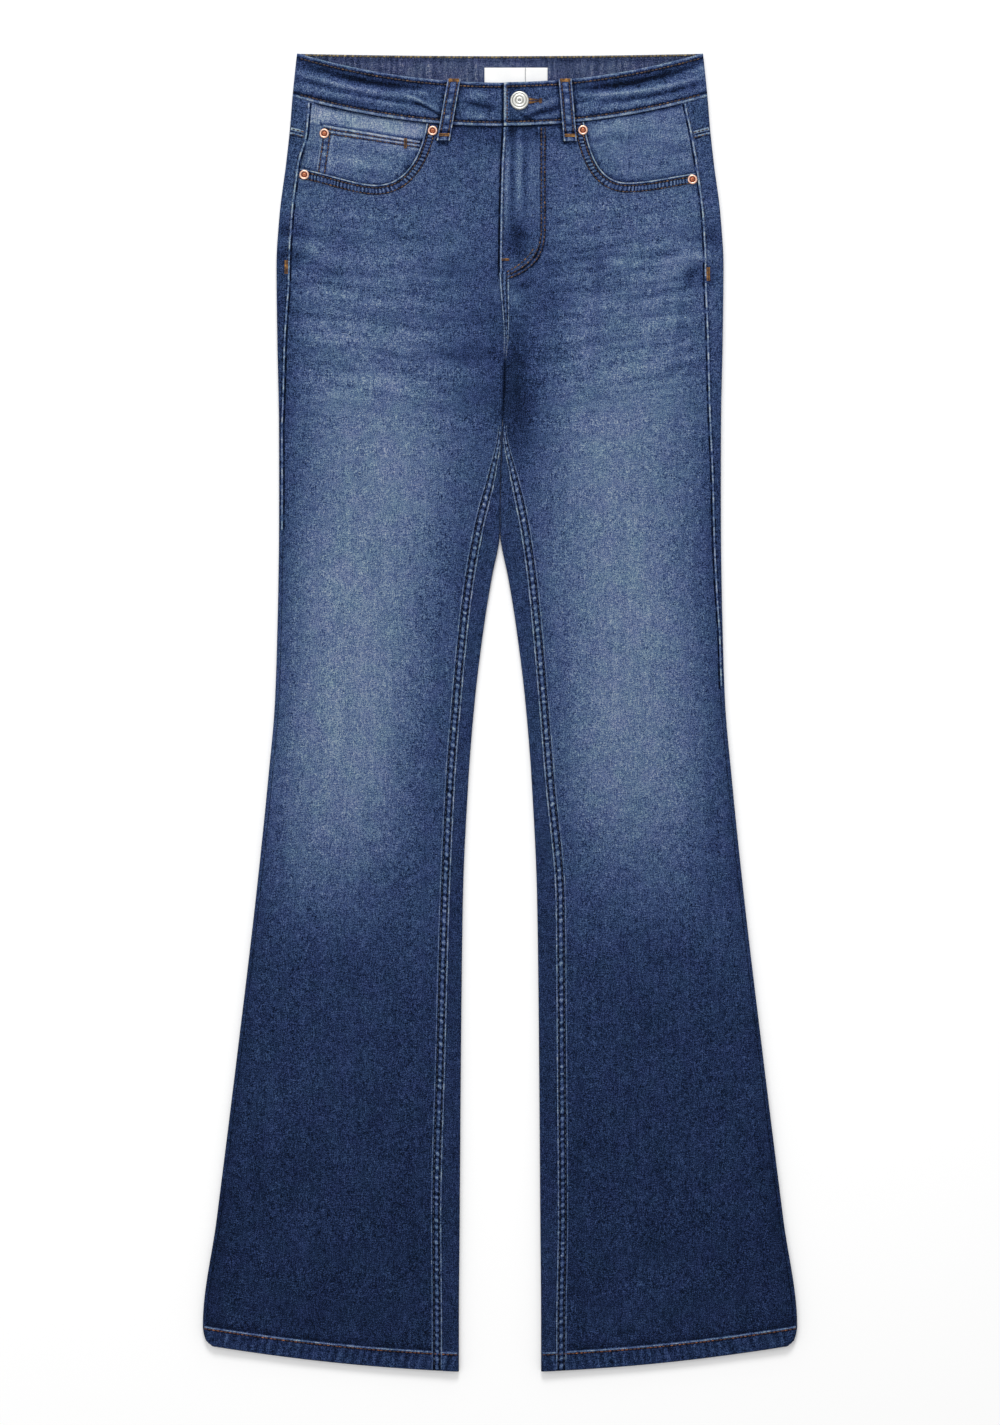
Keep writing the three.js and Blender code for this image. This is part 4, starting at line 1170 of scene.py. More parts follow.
# The rest of each seam: its width and rise; the pitch, slant, depth and paleness of its puckers; the
# two shares of the width that they lie between; and how broken its lines are.
SEAMS = {
    kind: dict(zip("width rise pitch slant depth ribs low high broken".split(), row))
    for kind, row in dict(
        pocket=(9.5, 0.45, 2.9, 1.5, 0.14, 0.65, 0.3, 0.8, 0.5),
        inseam=(9.4, 0.7, 6.2, 3.4, 0.3, 0.62, 0.3, 0.68, 0.4),
        hem=(17.3, 0.25, 7.4, 4.0, 0.22, 0.16, 0.05, 0.8, 0.4),
        outseam=(5.0, 0.3, 4.4, 0.0, 0.08, 0.2, 0.3, 1.0, 0.8),
        yoke=(8.5, 0.45, 3.4, 0.0, 0.12, 0.2, 0.1, 0.9, 0.4),
        fly=(5.7, 0.3, 4.8, 0.0, 0.08, 0.12, 0.2, 1.0, 0.4),
        felled=(9.4, 0.5, 4.6, 2.0, 0.16, 0.25, 0.2, 0.8, 0.4),
        topstitch=(8.2, 0.14, 4.0, 0.0, 0.06, 0.12, 0.2, 0.9, 0.5),
    ).items()
}


def strip(name, kind, x, down, s, t, base, fades, seed, slot="denim_trim", facing=1):
    """A seam on a grid of places, where s is the distance along it and t the share of its width. Its
    drawn lines are bell curves that stand up or sink a little, and its puckers are squared sine waves
    of uneven pitch. facing is -1 on the underside."""
    look, lines = SEAMS[kind], SEAM_LINES[kind]
    bells = bell(t[..., None] - lines["at"], lines["half"])
    bells = bells * (0.9 + look["broken"] * wobble(s[..., None] + 90 * lines["at"], seed + 3, 15))
    drawn = (lines["wear"] * bells).sum(-1)
    phase = (s + look["slant"] * (t - 0.5)) * TURN / look["pitch"] + 1.8 * wobble(s, seed, 31)
    between = smoothstep(t, look["low"] - 0.07, look["low"] + 0.07)
    between = between * (1 - smoothstep(t, look["high"] - 0.07, look["high"] + 0.07))
    peaks = 1.7 * np.clip(0.5 + 0.5 * np.sin(phase), 0, 1) ** 2 - 0.6
    wave = between * (0.75 + 0.6 * wobble(s, seed + 7, 19)) * peaks
    crown = np.clip(np.sin(np.pi * t), 0, 1) ** 0.28
    steps = np.arange(len(s))
    ends = np.minimum(1, np.minimum(steps, steps[::-1]) / 1.5)[:, None]
    rise = (look["rise"] + look["depth"] * wave + 0.16 * np.clip(drawn, -1, 1)) * crown * ends
    level = base(x, down)
    values = {"fade": fades(x, down), "wear": drawn + look["ribs"] * wave}
    top = place(x, down, level + facing * (0.03 + np.maximum(rise, 0)))
    piece = wall(name, top, place(x, down, level - facing * 0.25), DENIM_SEAM, values)
    return piece


def band(name, kind, path, turn, *rest, narrow=np.ones_like, **more):
    """A seam that runs beside a path, on its left (turn 1) or right (turn -1). Its width is a share
    of its kind's width, narrow, at each place down the garment."""
    even = evenly(path, min(1.5, SEAMS[kind]["pitch"] / 4))
    along = np.r_[0, np.cumsum(np.linalg.norm(np.diff(even, axis=0), axis=1))]
    s, t = np.meshgrid(along, np.linspace(0, 1, 17), indexing="ij")
    offset = turn * SEAMS[kind]["width"] * t * narrow(even[:, 1])[:, None]
    spots = even[:, None, :] + sideways(even)[:, None, :] * offset[..., None]
    return strip(name, kind, spots[..., 0], spots[..., 1], s, t, *rest, **more)


# ---------------------------------------------------------------- build the cloth

SIDES = {-1: "right", 1: "left"}


def rolled_off(side, out, row):
    """How far the surface has dropped beside its folded edges, round the fold's circle."""
    radius = fold_radius(row)
    to_side = np.clip(outer(row) - out, 0, radius)
    to_inside = np.where(below_crotch(row), np.clip(out - inner_edge(side, row), 0, radius), radius)
    return sum(radius - np.sqrt(radius**2 - (radius - d) ** 2) for d in (to_side, to_inside))


def on_top(side):
    """Height of the front surface at x and down, for what is sewn there."""

    def base(x, down):
        out = side * x
        row = row_of(down, out)
        return panel_height(side, out, row) - rolled_off(side, out, row)

    return base


def on_back(x, down):
    """Height of the underside, for what is sewn there."""
    return lift_under(down)


def fade_top(x, down):
    """The fade of a seam on the front, with some of the fronts' painted shade and light."""
    return fade(x, down) + 0.6 * shade(x, down)


def fade_flat(value):
    """The same fade all along a seam."""
    return lambda x, down: np.full(np.shape(x), float(value))


for side, name in SIDES.items():
    front_panel(side, f"front_{name}")
    turns = (CROTCH, CROTCH + 1.5, CROTCH + 3, HEM_RIDGE - 1, HEM_RIDGE + 1)
    rows = row_spread(YOKE_SIDE + GAP / 2, HEM_AT_SIDE, 4.6, turns)
    back_wall(f"back_{name}", side, rows)
    rows = row_spread(BAND_HEIGHT + GAP / 2, YOKE_SIDE - GAP / 2, 2.2)
    back_wall(f"yoke_{name}", side, rows)


# The waistband


def band_folds(x, share, weight):
    """Sum over the waistband's folds of weight times a bell curve across and a half sine along."""
    f = BAND_FOLDS
    t = (x[..., None] - f["x0"]) / (f["x1"] - f["x0"])
    inside = np.sin(np.pi * np.clip(t, 0, 1)) ** 0.6
    line = mix(f["share0"], f["share1"], np.clip(t, 0, 1)) + f["bend"] * np.sin(np.pi * np.clip(t, 0, 1))
    return (weight * inside * bell(share[..., None] - line, f["half"])).sum(-1)


def waistband_path(step=2.4):
    """The band's run at half its height, from its lower end under the button, round the back, to its
    upper end: x, height, the way that it faces (across and up), how far it has turned under, and how
    far it is raised."""
    radius = FOLD / 2
    flat = outer(BAND_HEIGHT / 2) - radius
    runs = []

    def run(*arrays):
        runs.append(np.broadcast_arrays(*arrays))

    def fold(sign, turns):
        angle = np.pi * (0.5 - turns)
        z = UNDER + radius * (1 + np.sin(angle))
        run(sign * (flat + radius * np.cos(angle)), z, sign * np.cos(angle), np.sin(angle), turns, 0.0)

    turns = np.linspace(0, 1, 11)
    run(np.arange(OVERLAP_UNDER, -flat, -step), HIP_TOP, 0.0, 1.0, 0.0, 0.0)
    fold(-1, turns)
    run(np.arange(-flat + step, flat, step), UNDER, 0.0, -1.0, 1.0, 0.0)
    fold(1, turns[::-1])
    xs = np.r_[np.arange(flat - step, middle(BAND_HEIGHT), -step), middle(BAND_HEIGHT)]
    run(xs, HIP_TOP, 0.0, 1.0, 0.0, band_raised(xs))
    return [np.concatenate(pieces) for pieces in zip(*runs)]


def waist_arc(x, share):
    """How much of its sag the waistband has at a place: all of it in the middle, none at the side."""
    return 1 - np.minimum(np.abs(x) / outer(BAND_HEIGHT * share), 1) ** 2


def waistband():
    """Closed wall on the band's run. Its front hangs in an arc below the back's, and its edges are
    worn pale; its folds carry painted light on the ridges and painted shade in the troughs."""
    x, z, across, up, under, raised = (values[None, :] for values in waistband_path())
    s = np.r_[0, 0.012, 0.04, np.linspace(0.08, 0.92, 30), 0.96, 0.988, 1][:, None]
    half = outer(BAND_HEIGHT / 2)
    grown = 1 + (outer(BAND_HEIGHT * s) / half - 1) * smoothstep(np.abs(x), BAND_STRAIGHT, half)
    xs = x * np.where(np.abs(x) > BAND_STRAIGHT, grown, 1.0)
    s = np.broadcast_to(s, xs.shape)
    front = 1 - under
    arc = waist_arc(xs, s)
    top_down = mix(WAIST_DIP, BACK_DIP, under) * arc
    down = mix(top_down, WAIST_DIP * arc * front + BAND_HEIGHT - GAP / 2, s)
    folds = band_folds(xs, s, BAND_FOLDS["rise"]) * front
    rope = sum(
        0.16 * np.sin(xs * TURN / 3.4 + 2 * wobble(xs, seed, 40)) * bell(s - at, 0.04)
        for seed, at in ((3, 0.045), (4, 0.955))
    )
    edge_sink = 0.45 * bell(s, 0.02) + 0.45 * bell(1 - s, 0.02)
    groove = 0.28 * (bell(s - 0.1, 0.022) + bell(s - 0.915, 0.022))
    height = z + raised + (folds + rope - groove) * front - edge_sink * up * 0.6
    outside = place(xs, down, height)
    # The inside of the back shows above the front: its lining side puckers between the stitches.
    gathers = np.tanh(1.6 * np.sin(xs * TURN / 5.6 + 3.4 * wobble(xs, 9, 48) + 1.2 * s))
    puckers = 0.22 * gathers * (0.6 + 0.6 * wobble(xs, 12, 21)) * np.sin(np.pi * s) ** 0.5 * under
    inside = place(xs - BAND * across, down, height - BAND * up + puckers)
    # Painted light and shade of the folds, and painted shadow beside the loops.
    worn_and_shaded = (band_folds(xs, s, BAND_FOLDS["shade"]) + loop_shadow(xs, down)) * front
    pale = (0.6 * bell(s - 0.01, 0.028) + 0.85 * bell(0.97 - s, 0.024)) * (0.9 + 0.4 * wobble(xs, 14, 17))
    # Darker along the stitch rows: painted shade in their grooves.
    dark = 0.6 * (bell(s - 0.1, 0.04) + bell(s - 0.9, 0.036))
    # The upper end is pale at its worn edge; the lower end, under it, gets a painted shadow.
    from_end = (xs - middle(BAND_HEIGHT)) * np.where(raised > 1, 1, -1)
    upper_end = bell(from_end - 0.9, 1.4) - 0.4 * bell(from_end - 4.2, 1.3)
    end_pale_and_shadow = np.where(raised > 1, upper_end, -0.6 * bell(from_end - 0.6, 1.4)) * front
    # Painted shade under the top edge, towards the sides.
    shade_under_top_edge = -0.2 * bell(s - 0.22, 0.1) * smoothstep(np.abs(xs), 50, 110) * front
    mottled = 0.05 * wobble(xs + 30 * s, 15, 13) + 0.05 * wobble(xs - 45 * s, 16, 24)
    wear = 1.2 * worn_and_shaded + pale + 0.8 * rope - dark + end_pale_and_shadow + shade_under_top_edge + mottled
    wear_inside = 1.1 * puckers + 0.25 * bell(s, 0.03) - 0.2 * bell(s - 0.12, 0.05)
    values = {"fade": 0.36, "wear": wear, "bare": 0.0}
    values_inside = {"fade": 0.44, "wear": wear_inside, "bare": 1.0}
    piece = wall("waistband", outside, inside, DENIM_BAND, values, values_inside)
    return dress(piece, "waistband")


def band_height(x, share, raised):
    """Height of the waistband's front face, for what lies on it."""
    x, share = np.broadcast_arrays(np.asarray(x, float), np.asarray(share, float))
    return HIP_TOP + raised + band_folds(x, share, BAND_FOLDS["rise"])


def band_down(x, share):
    """Distance down of the waistband's front, which sags by its arc."""
    return WAIST_DIP * waist_arc(x, share) + (BAND_HEIGHT - GAP / 2) * share


def band_raised(x):
    """How far the waistband's upper end is raised by the lower one, on the wearer's left."""
    x = np.asarray(x, float)
    lapped = (BAND + GAP) * (1 - smoothstep(x, OVERLAP_UNDER + 1, OVERLAP_RAMP))
    return np.where(x >= middle(BAND_HEIGHT), lapped, 0.0)


waistband()


# Pocket facings and the coin pocket


def opening_shadow(side, out, down):
    """Dark beside the edge of a pocket: a bell curve of the distance to the nearest point of it."""
    path = pocket_edge_path(side)
    near = np.hypot(out[..., None] - path[:, 0], down[..., None] - path[:, 1]).min(-1)
    return -0.42 * bell(near, 2.6) - 0.08 * bell(near, 9.0)


def facing(side, name):
    """The denim behind a pocket's opening: flat, and level with the front at the side seam."""
    row = row_spread(BAND_HEIGHT + GAP / 2, 118, 1.3)[:, None]
    seam = side_seam(side, row) - GAP / 2
    share = np.linspace(0, 1, 80)[None, :]
    out = mix(POCKET_CURVES[side][0][0] - FACING_BEYOND, seam, share)
    x, down = side * out, front_down(row, out)
    loose = 1 - smoothstep(out, seam - 8, seam - 2) * (1 - smoothstep(down, 76, 90))
    slack = 0.25 * wobble(down, 21 + side, 19) * np.sin(np.pi * share)
    top = HIP_TOP + (slack - FACING_DROP[side]) * loose
    # Painted shadow under the waistband's seam and beside the loops.
    dark = -0.55 * bell(row - BAND_HEIGHT, 2.0) + loop_shadow(x, down)
    if side == -1:
        above = down - coin_top(out)
        # A painted shadow line along the coin pocket's top edge; the facing above it is paler.
        dark = dark - 0.8 * bell(above + 0.9, 1.5) * (out < COIN["out_top"] + 2) + 0.36 * (above < 0)
    sheen = 0.08 * bell(down - 62, 12) + 0.07 * wobble(down - 0.2 * out, 23 + side, 21)
    wear = opening_shadow(side, out, down) + dark + sheen + 0.16 * bell(seam - out, 1.4)
    piece = slab(name, place(x, down, top), CLOTH, DENIM, {"fade": 0.60, "wear": wear, "crumple": 0.8})
    return dress(piece, name)


def coin_top(out):
    """How far down the coin pocket's slanting top edge is."""
    return COIN["top"] + COIN["slope"] * (COIN["out_top"] - out)


# Lines across the coin pocket from its top edge, and down it from its side edge: pale worn ridges,
# and painted shade along the stitch rows.
COIN_LINES = columns(
    "at half wear", (1.0, 1.0, 0.9), (3.1, 1.0, -0.8), (5.0, 0.9, 0.7), (7.0, 1.0, -0.8), (9.2, 1.6, 0.3)
)
COIN_SIDE = columns("at half wear", (0.3, 0.9, 0.5), (1.9, 1.0, -0.6), (7.0, 1.1, -0.7), (9.0, 1.0, 0.3))


def coin_pocket():
    """The small pocket on the right facing, thicker along its hemmed top edge. Its drawn lines are
    bell curves of the distance from its edges."""
    size, width = COIN["end"] - COIN["top"], 82
    share = (np.r_[np.arange(0, 11, 0.45), np.linspace(11.5, size, 30)] / size)[:, None]
    across = (np.r_[np.arange(0, 10, 0.5), np.linspace(10.7, width, 52)] / width)[None, :]
    out_side = mix(COIN["out_top"], COIN["out_end"], share)
    out = mix(out_side, COIN["in_out"], across)
    down = mix(coin_top(out), COIN["end"], share)
    from_top, from_side = share * size, out_side - out
    top = COIN_FACE - 0.25 + 0.2 * np.exp(-((from_top / 8) ** 4)) + 0.1 * wobble(out, 31, 30)

    def drawn(lines, distance, along, seed):
        broken = 0.9 + 0.4 * wobble(along[..., None] + 9 * lines["at"], seed, 12)
        return (lines["wear"] * bell(distance[..., None] - lines["at"], lines["half"]) * broken).sum(-1)

    pale = drawn(COIN_LINES, from_top, out, 35) * smoothstep(from_side, 0, 3)
    pale = pale + drawn(COIN_SIDE, from_side, down, 36) * smoothstep(from_top, 0, 7)
    puckered = 0.45 * np.sin(down * TURN / 6.5 + 2 * wobble(down, 33, 20)) * bell(from_side - 4.4, 1.8)
    glow = 0.12 * bell(down - 92, 9) * np.sin(np.pi * across) + 0.06 * wobble(down + 0.3 * out, 37, 17)
    seam = -0.3 * bell(out - 78.5, 1.3) * smoothstep(down, 76, 80)
    wear = pale + puckered + glow + seam + opening_shadow(-1, out, down)
    values = {"fade": 0.62, "wear": wear, "crumple": 0.8}
    piece = slab("coin_pocket", place(-out, down, top + 0.3 * puckered), COIN["thick"] - 0.1, DENIM, values)
    return dress(piece, "coin_pocket")


for side, name in SIDES.items():
    facing(side, f"pocket_facing_{name}")
coin_pocket()


# Belt loops

# Shares along and across a loop, closer together at its edges.
LOOP_GRID = np.broadcast_arrays(
    np.r_[0, 0.012, np.linspace(0.03, 0.97, 50), 0.988, 1][:, None],
    np.r_[0, 0.04, np.linspace(0.1, 0.9, 11), 0.96, 1][None, :],
)


def loop_values(s, t):
    """Pale worn edges, painted shade in the stitch grooves beside them, and a mottled middle."""
    edges = sum(
        bell(edge - 0.04, 0.05) * (0.8 + 0.5 * wobble(s * 60, seed, 9))
        for seed, edge in ((43, t), (44, 1 - t))
    )
    groove = 0.65 * (bell(t - 0.2, 0.09) + bell(t - 0.8, 0.09))
    mottle = (0.05 + 0.7 * wobble(s * 60, 41, 9)) * bell(t - 0.5, 0.18)
    ends = 0.5 * bell(s - 0.99, 0.02) - 0.5 * bell(s - 0.86, 0.025)
    return {"fade": 0.46, "wear": 0.9 * edges - groove + mottle + ends}


def loop_height(share, across):
    """Height of a belt loop: it stands off between its ends, and is double at the lower one."""
    stand = LOOP_STAND * np.sin(np.pi * np.clip((share - 0.06) / 0.82, 0, 1)) ** 0.6
    doubled = 0.7 * smoothstep(share, 0.87, 0.9)
    rounded = 0.35 * (bell(across, 0.05) + bell(1 - across, 0.05))
    return HIP_TOP + GAP + 0.3 + CLOTH + stand + doubled - rounded


def front_loop(name, top, end):
    """A belt loop on the front, standing off the cloth between its two sewn ends."""
    s, t = LOOP_GRID
    x = mix(top[0], end[0], s) + (t - 0.5) * LOOP_WIDTH
    tops = place(x, mix(top[1], end[1], s), loop_height(s, t))
    piece = slab(name, tops, CLOTH, DENIM_SEAM, loop_values(s, t))
    return dress(piece, name)


def back_loop(name, x0):
    """A belt loop on the underside, pressed flat by what it lies on."""
    s, t = LOOP_GRID
    x, down = x0 + (t - 0.5) * LOOP_WIDTH, mix(BACK_LOOP_TOP, BACK_LOOP_END, s)
    outside = place(x, down, 0.12 + 0.2 * (np.abs(t - 0.5) > 0.46))
    piece = wall(name, outside, place(x, down, CLOTH), DENIM_SEAM, loop_values(s, t))
    return dress(piece, name)


for name, (top, end) in FRONT_LOOPS.items():
    front_loop(name, top, end)
for name, x0 in BACK_LOOPS.items():
    back_loop(name, x0)


# Back pockets


def pocket_frame(side, across, up):
    """x and down of a place on a back pocket, from its own axes: across towards the side seam."""
    p = BACK_POCKET
    turn = side * p["turn"]
    x0, y0 = side * across, -up
    x = x0 * np.cos(turn) - y0 * np.sin(turn) + side * p["out"]
    y = x0 * np.sin(turn) + y0 * np.cos(turn)
    return x, p["top"] - y


def pocket_half(up):
    """Half the pocket's width at a distance below its top: it tapers, then closes to its point."""
    p = BACK_POCKET
    straight = p["height"] - p["point"]
    tapering = p["width"] / 2 - p["taper"] * np.clip(up / straight, 0, 1)
    closing = 1 - np.clip((up - straight) / p["point"], 0, 1)
    return tapering * np.where(up > straight, closing, 1.0)


def back_pocket(side, name):
    """A back pocket: a flat wall in its five-sided outline, with worn edges."""
    up = np.r_[0, 0.6, np.linspace(2, BACK_POCKET["height"] - 0.6, 46)][:, None]
    t = np.r_[0, 0.01, np.linspace(0.025, 0.975, 42), 0.99, 1][None, :]
    u, t = np.broadcast_arrays(up, t)
    half = pocket_half(u)
    across = (2 * t - 1) * half
    x, down = pocket_frame(side, across, u)
    from_edge = half - np.abs(across)
    edge = 0.4 * bell(from_edge, 1.2) + 0.45 * bell(u, 1.2)
    # Painted shade along the stitch grooves.
    groove = 0.12 * bell(from_edge - 4, 2.4) + 0.1 * bell(u - 8, 2)
    middle_pale = 0.22 * bell(across, 36) * bell(u - 70, 50)
    values = {"fade": 0.42, "wear": edge - groove + middle_pale + 0.05 * wobble(u + across, 51, 31)}
    outside = place(x, down, 0.15 + 0.3 * bell(from_edge, 0.8))
    piece = wall(name, outside, place(x, down, CLOTH + 0.05), DENIM, values)
    return dress(piece, name)


for side, name in SIDES.items():
    back_pocket(side, f"back_pocket_{name}")


# Labels inside the back of the waistband


def label(name, x0, x1):
    """A label, almost flat, its two ends turned down."""
    x, down = np.meshgrid(np.linspace(x0, x1, 24), np.linspace(LABEL_TOP, LABEL_END, 18))
    top = UNDER + BAND + GAP + 1.0 - 0.25 + 0.12 * wobble(x, 61, 26)
    top = top - 0.15 * (bell(x - x0, 0.8) + bell(x - x1, 0.8))
    piece = slab(name, place(x, down, top), 0.5, LABEL_WHITE, {"fade": 0.0})
    return dress(piece, name)


for name, (x0, x1) in LABELS.items():
    label(name, x0, x1)


# ---------------------------------------------------------------- seams and their stitches

brown, khaki, rust, blue = [], [], [], []
brown_under, gold_under, rust_under = [], [], []


def on_surface(base, path, rise=0.0):
    """A path of x and down laid on a surface, a little above it."""
    path = np.asarray(path, float)
    return place(path[:, 0], path[:, 1], base(path[:, 0], path[:, 1]) + rise)


def mirror(side, path):
    """out and down to x and down."""
    return np.stack([side * path[:, 0], path[:, 1]], axis=1)


def row_path(side, rows, out_of):
    """x and down of a line down the garment, whose out is a function of the row."""
    rows = np.asarray(rows, float)
    out = out_of(rows)
    return np.stack([side * out, front_down(rows, out)], axis=1)


def pocket_edges(side, name):
    """The turned edge of a front pocket, ribbed between two rows of stitches."""
    path = mirror(side, pocket_edge_path(side, 0.0))
    band(f"pocket_edge_{name}", "pocket", path, side, on_top(side), fade_top, 70 + side)
    for shift in (2.6, 7.8):
        brown.append(on_surface(on_top(side), mirror(side, pocket_edge_path(side, shift)), 0.4))


def fell_share(down):
    """Share of its width that the felled inseam has: it grows from the crotch on."""
    return mix(0.42, 1.0, smoothstep(down, CROTCH, CROTCH + 70))


def inseam_fell(side, name):
    """The felled inseam: pale along both edges, blotched where it puckers between its stitches."""
    rows = np.linspace(CROTCH + 1, HEM_AT_SIDE - 0.8, 400)
    path = row_path(side, rows, lambda r: inseam(side, r) - 0.2)

    def fades(x, down):
        return fade(x, down) * 0.6 + 0.12

    laid = (path, -side, on_top(side), fades, 80 + side, "denim_front")
    band(f"inseam_fell_{name}", "inseam", *laid, narrow=fell_share)
    for shift in (1.9, 7.0):
        line = row_path(side, rows[2:-2], lambda r, d=shift: inseam(side, r) + d * fell_share(r))
        blue.append(on_surface(on_top(side), line, 0.55))


def hem_grid(side, ups, inset, count):
    """x, down and out of places round the leg at heights above the hem's edge. Each line runs from
    inside edge to side edge, less an inset."""
    row = HEM_AT_SIDE - np.asarray(ups, float)[None, :]
    share = np.linspace(0, 1, count)[:, None]
    out = mix(inner_edge(side, row) + inset, outer(row) - inset, share)
    return side * out, front_down(np.broadcast_to(row, out.shape), out), out


def hem_bands(side, name):
    """The hem, on top and under: a pale ridge where the cloth turns, rust thread, roping below."""
    share = np.r_[np.linspace(0, 0.72, 8), np.linspace(0.76, 1, 12)]
    for part, base, inset, facing in (("band", on_top(side), 0.8, 1), ("under", on_back, 2.6, -1)):
        x, down, out = hem_grid(side, 0.5 + SEAMS["hem"]["width"] * share, inset, 170)
        look = (base, fade_flat(0.07), 92 + side, "denim_front" if facing > 0 else "denim_back", facing)
        strip(f"hem_{part}_{name}", "hem", x, down, out, np.broadcast_to(share, out.shape), *look)
    for store, base, inset, rise in ((rust, on_top(side), 1.0, 0.3), (rust_under, on_back, 3.0, -0.3)):
        x, down, _ = hem_grid(side, [15.3], inset, 160)
        store.append(on_surface(base, np.concatenate([x, down], axis=1), rise))


def side_seam_edge(side, name):
    """The side seam: the back's edge stands up pale beside it, stitched down to the bar tack."""
    tack_row = 176.0 if side == -1 else 182.0
    rows = np.linspace(BAND_HEIGHT + 0.8, 405 if side == -1 else 540, 300)
    path = row_path(side, rows, lambda r: side_seam(side, r) - 1.8)
    band(f"side_seam_{name}", "outseam", path, -side, on_top(side), fade_top, 100 + side, "denim_front")
    edge_rows = np.linspace(BAND_HEIGHT + 3, tack_row, 90)
    blue.append(on_surface(on_top(side), row_path(side, edge_rows, lambda r: side_seam(side, r) + 1.9), 0.3))
    tack = row_path(side, np.array([tack_row, tack_row + 11]), lambda r: side_seam(side, r) + 3.0)
    return bar_tack(*on_surface(on_top(side), tack, 0.35), 3.2, 17)


def yoke_bands(side, name):
    """The yoke seam where it shows at the side, and right across the back."""
    seam = float(side_seam(side, np.array(YOKE_SIDE)))
    out = np.linspace(seam + 1.8, float(outer(YOKE_SIDE - 4.5)) - 1.4, 40)
    line = np.stack([side * out, front_down(np.full_like(out, YOKE_SIDE - 4.5), out)], axis=1)
    band(f"yoke_seam_side_{name}", "yoke", line, side, on_top(side), fade_flat(0.6), 110 + side, "denim_back")
    for shift in (2.6, 6.8):
        brown.append(on_surface(on_top(side), line[1:] + (0, shift), 0.45))
    out = np.linspace(4.0, float(outer(YOKE_SIDE)) - 3.2, 200)
    line = np.stack([side * out, back_down(np.full_like(out, YOKE_SIDE - 1.0), out)], axis=1)
    band(f"yoke_seam_back_{name}", "yoke", line, side, on_back, fade_flat(0.36), 114 + side, "denim_back", -1)
    for shift in (2.6, 6.8):
        brown_under.append(on_surface(on_back, line + (0, shift), -0.4))


side_tacks = []
for side, name in SIDES.items():
    pocket_edges(side, name)
    inseam_fell(side, name)
    hem_bands(side, name)
    side_tacks.append(side_seam_edge(side, name))
    yoke_bands(side, name)


# The fly, the seam below it, and the seat seam


def fly_path(shift):
    """The J of the fly's stitching, moved in by shift: down beside the fly, then a quarter turn to
    the middle seam."""
    x = FLY_STITCH_OUT - shift
    straight = np.stack([np.full(20, x), np.linspace(63.0, FLY_BEND, 20)], axis=1)
    corner = [(x, FLY_BEND), (x, 176.0 - shift), (x - 15, 186.0 - shift), (5.5, 192.0 - shift)]
    return np.concatenate([straight, bezier(corner, 24)[1:]])


def middle_path(shift, start, end):
    """x and down of a line beside the middle of the front."""
    down = np.linspace(start, end, 160)
    return np.stack([middle(down) + shift, down], axis=1)


on_left = on_top(1)
band("fly_edge", "fly", middle_path(-2.2, 63.2, 190), -1, on_left, fade_top, 120)
band("fly_stitching", "topstitch", fly_path(-2.4), 1, on_left, fade_top, 122)
blue.append(on_surface(on_left, middle_path(1.9, 64, 186), 0.3))
for shift, first in ((0.0, 0), (2.9, 0), (5.8, 26)):
    brown.append(on_surface(on_left, fly_path(shift)[first:], 0.16))


def front_share(down):
    """Share of its width that the seam below the fly has: it narrows to nothing at the fold."""
    return mix(1.0, 0.25, np.clip((down - 186) / 74, 0, 1))


band("front_seam", "felled", middle_path(-1.5, 186, 260), -1, on_left, fade_top, 124, narrow=front_share)
for shift in (2.8, 7.0):
    line = middle_path(-1.5, 187, 256)
    line[:, 0] += shift * front_share(line[:, 1])
    blue.append(on_surface(on_left, line, 0.45))


def seat_seam_path(shift, start, end):
    """x and down of a line beside the seam down the middle of the seat."""
    down = np.linspace(start, end, 160)
    return np.stack([middle(down) * smoothstep(down, 250, CROTCH) + shift, down], axis=1)


band("seat_seam", "felled", seat_seam_path(-4.7, 42, 311), -1, on_back, fade_flat(0.4), 128, "denim_back", -1)
for shift in (-1.8, 2.3):
    brown_under.append(on_surface(on_back, seat_seam_path(shift, 44, 309), -0.45))


# Stitches on the waistband


def band_row(x0, x1, share, rise=0.12):
    """A line along the waistband's front, at a share of its height."""
    x = np.linspace(x0, x1, 240)
    return place(x, band_down(x, share), band_height(x, np.full_like(x, share), band_raised(x)) + rise)


def band_back_row(share, z, reach=168.0):
    """A line of the waistband's back, at a share of its height."""
    x = np.linspace(-reach, reach, 240)
    return place(x, mix(BACK_DIP * waist_arc(x, share), BAND_HEIGHT - GAP / 2, share), z)


for share in (0.1, 0.915):
    brown.append(band_row(-170.0, 1.0, share))
    brown.append(band_row(6.0, 170.0, share))
    brown_under.append(band_back_row(share, UNDER - 0.1))
brown.append(band_row(6.0, 6.01, 0.5)[:1].repeat(2, 0) + np.array([[0, 16.0, 0.1], [0, -16.0, 0.1]]))
khaki.append(band_back_row(0.03, UNDER + BAND + 0.3, 166.0))

# Stitches on the coin pocket


def coin_line(from_top, out0, out1):
    """A line across the coin pocket, beside its top edge."""
    out = np.linspace(out0, out1, 40)
    down = mix(coin_top(out), COIN["end"], from_top / (COIN["end"] - COIN["top"]))
    return place(-out, down, COIN_FACE + 0.1)


def coin_side(from_side):
    """A line down the coin pocket, beside its side edge."""
    share = np.linspace(0.02, 0.97, 40)
    out = mix(COIN["out_top"], COIN["out_end"], share) - from_side
    return place(-out, mix(coin_top(out), COIN["end"], share), COIN_FACE)


brown += [coin_line(3.1, 149, 70), coin_line(7.0, 149, 70), coin_side(1.9), coin_side(7.0)]

# Stitches on the loops


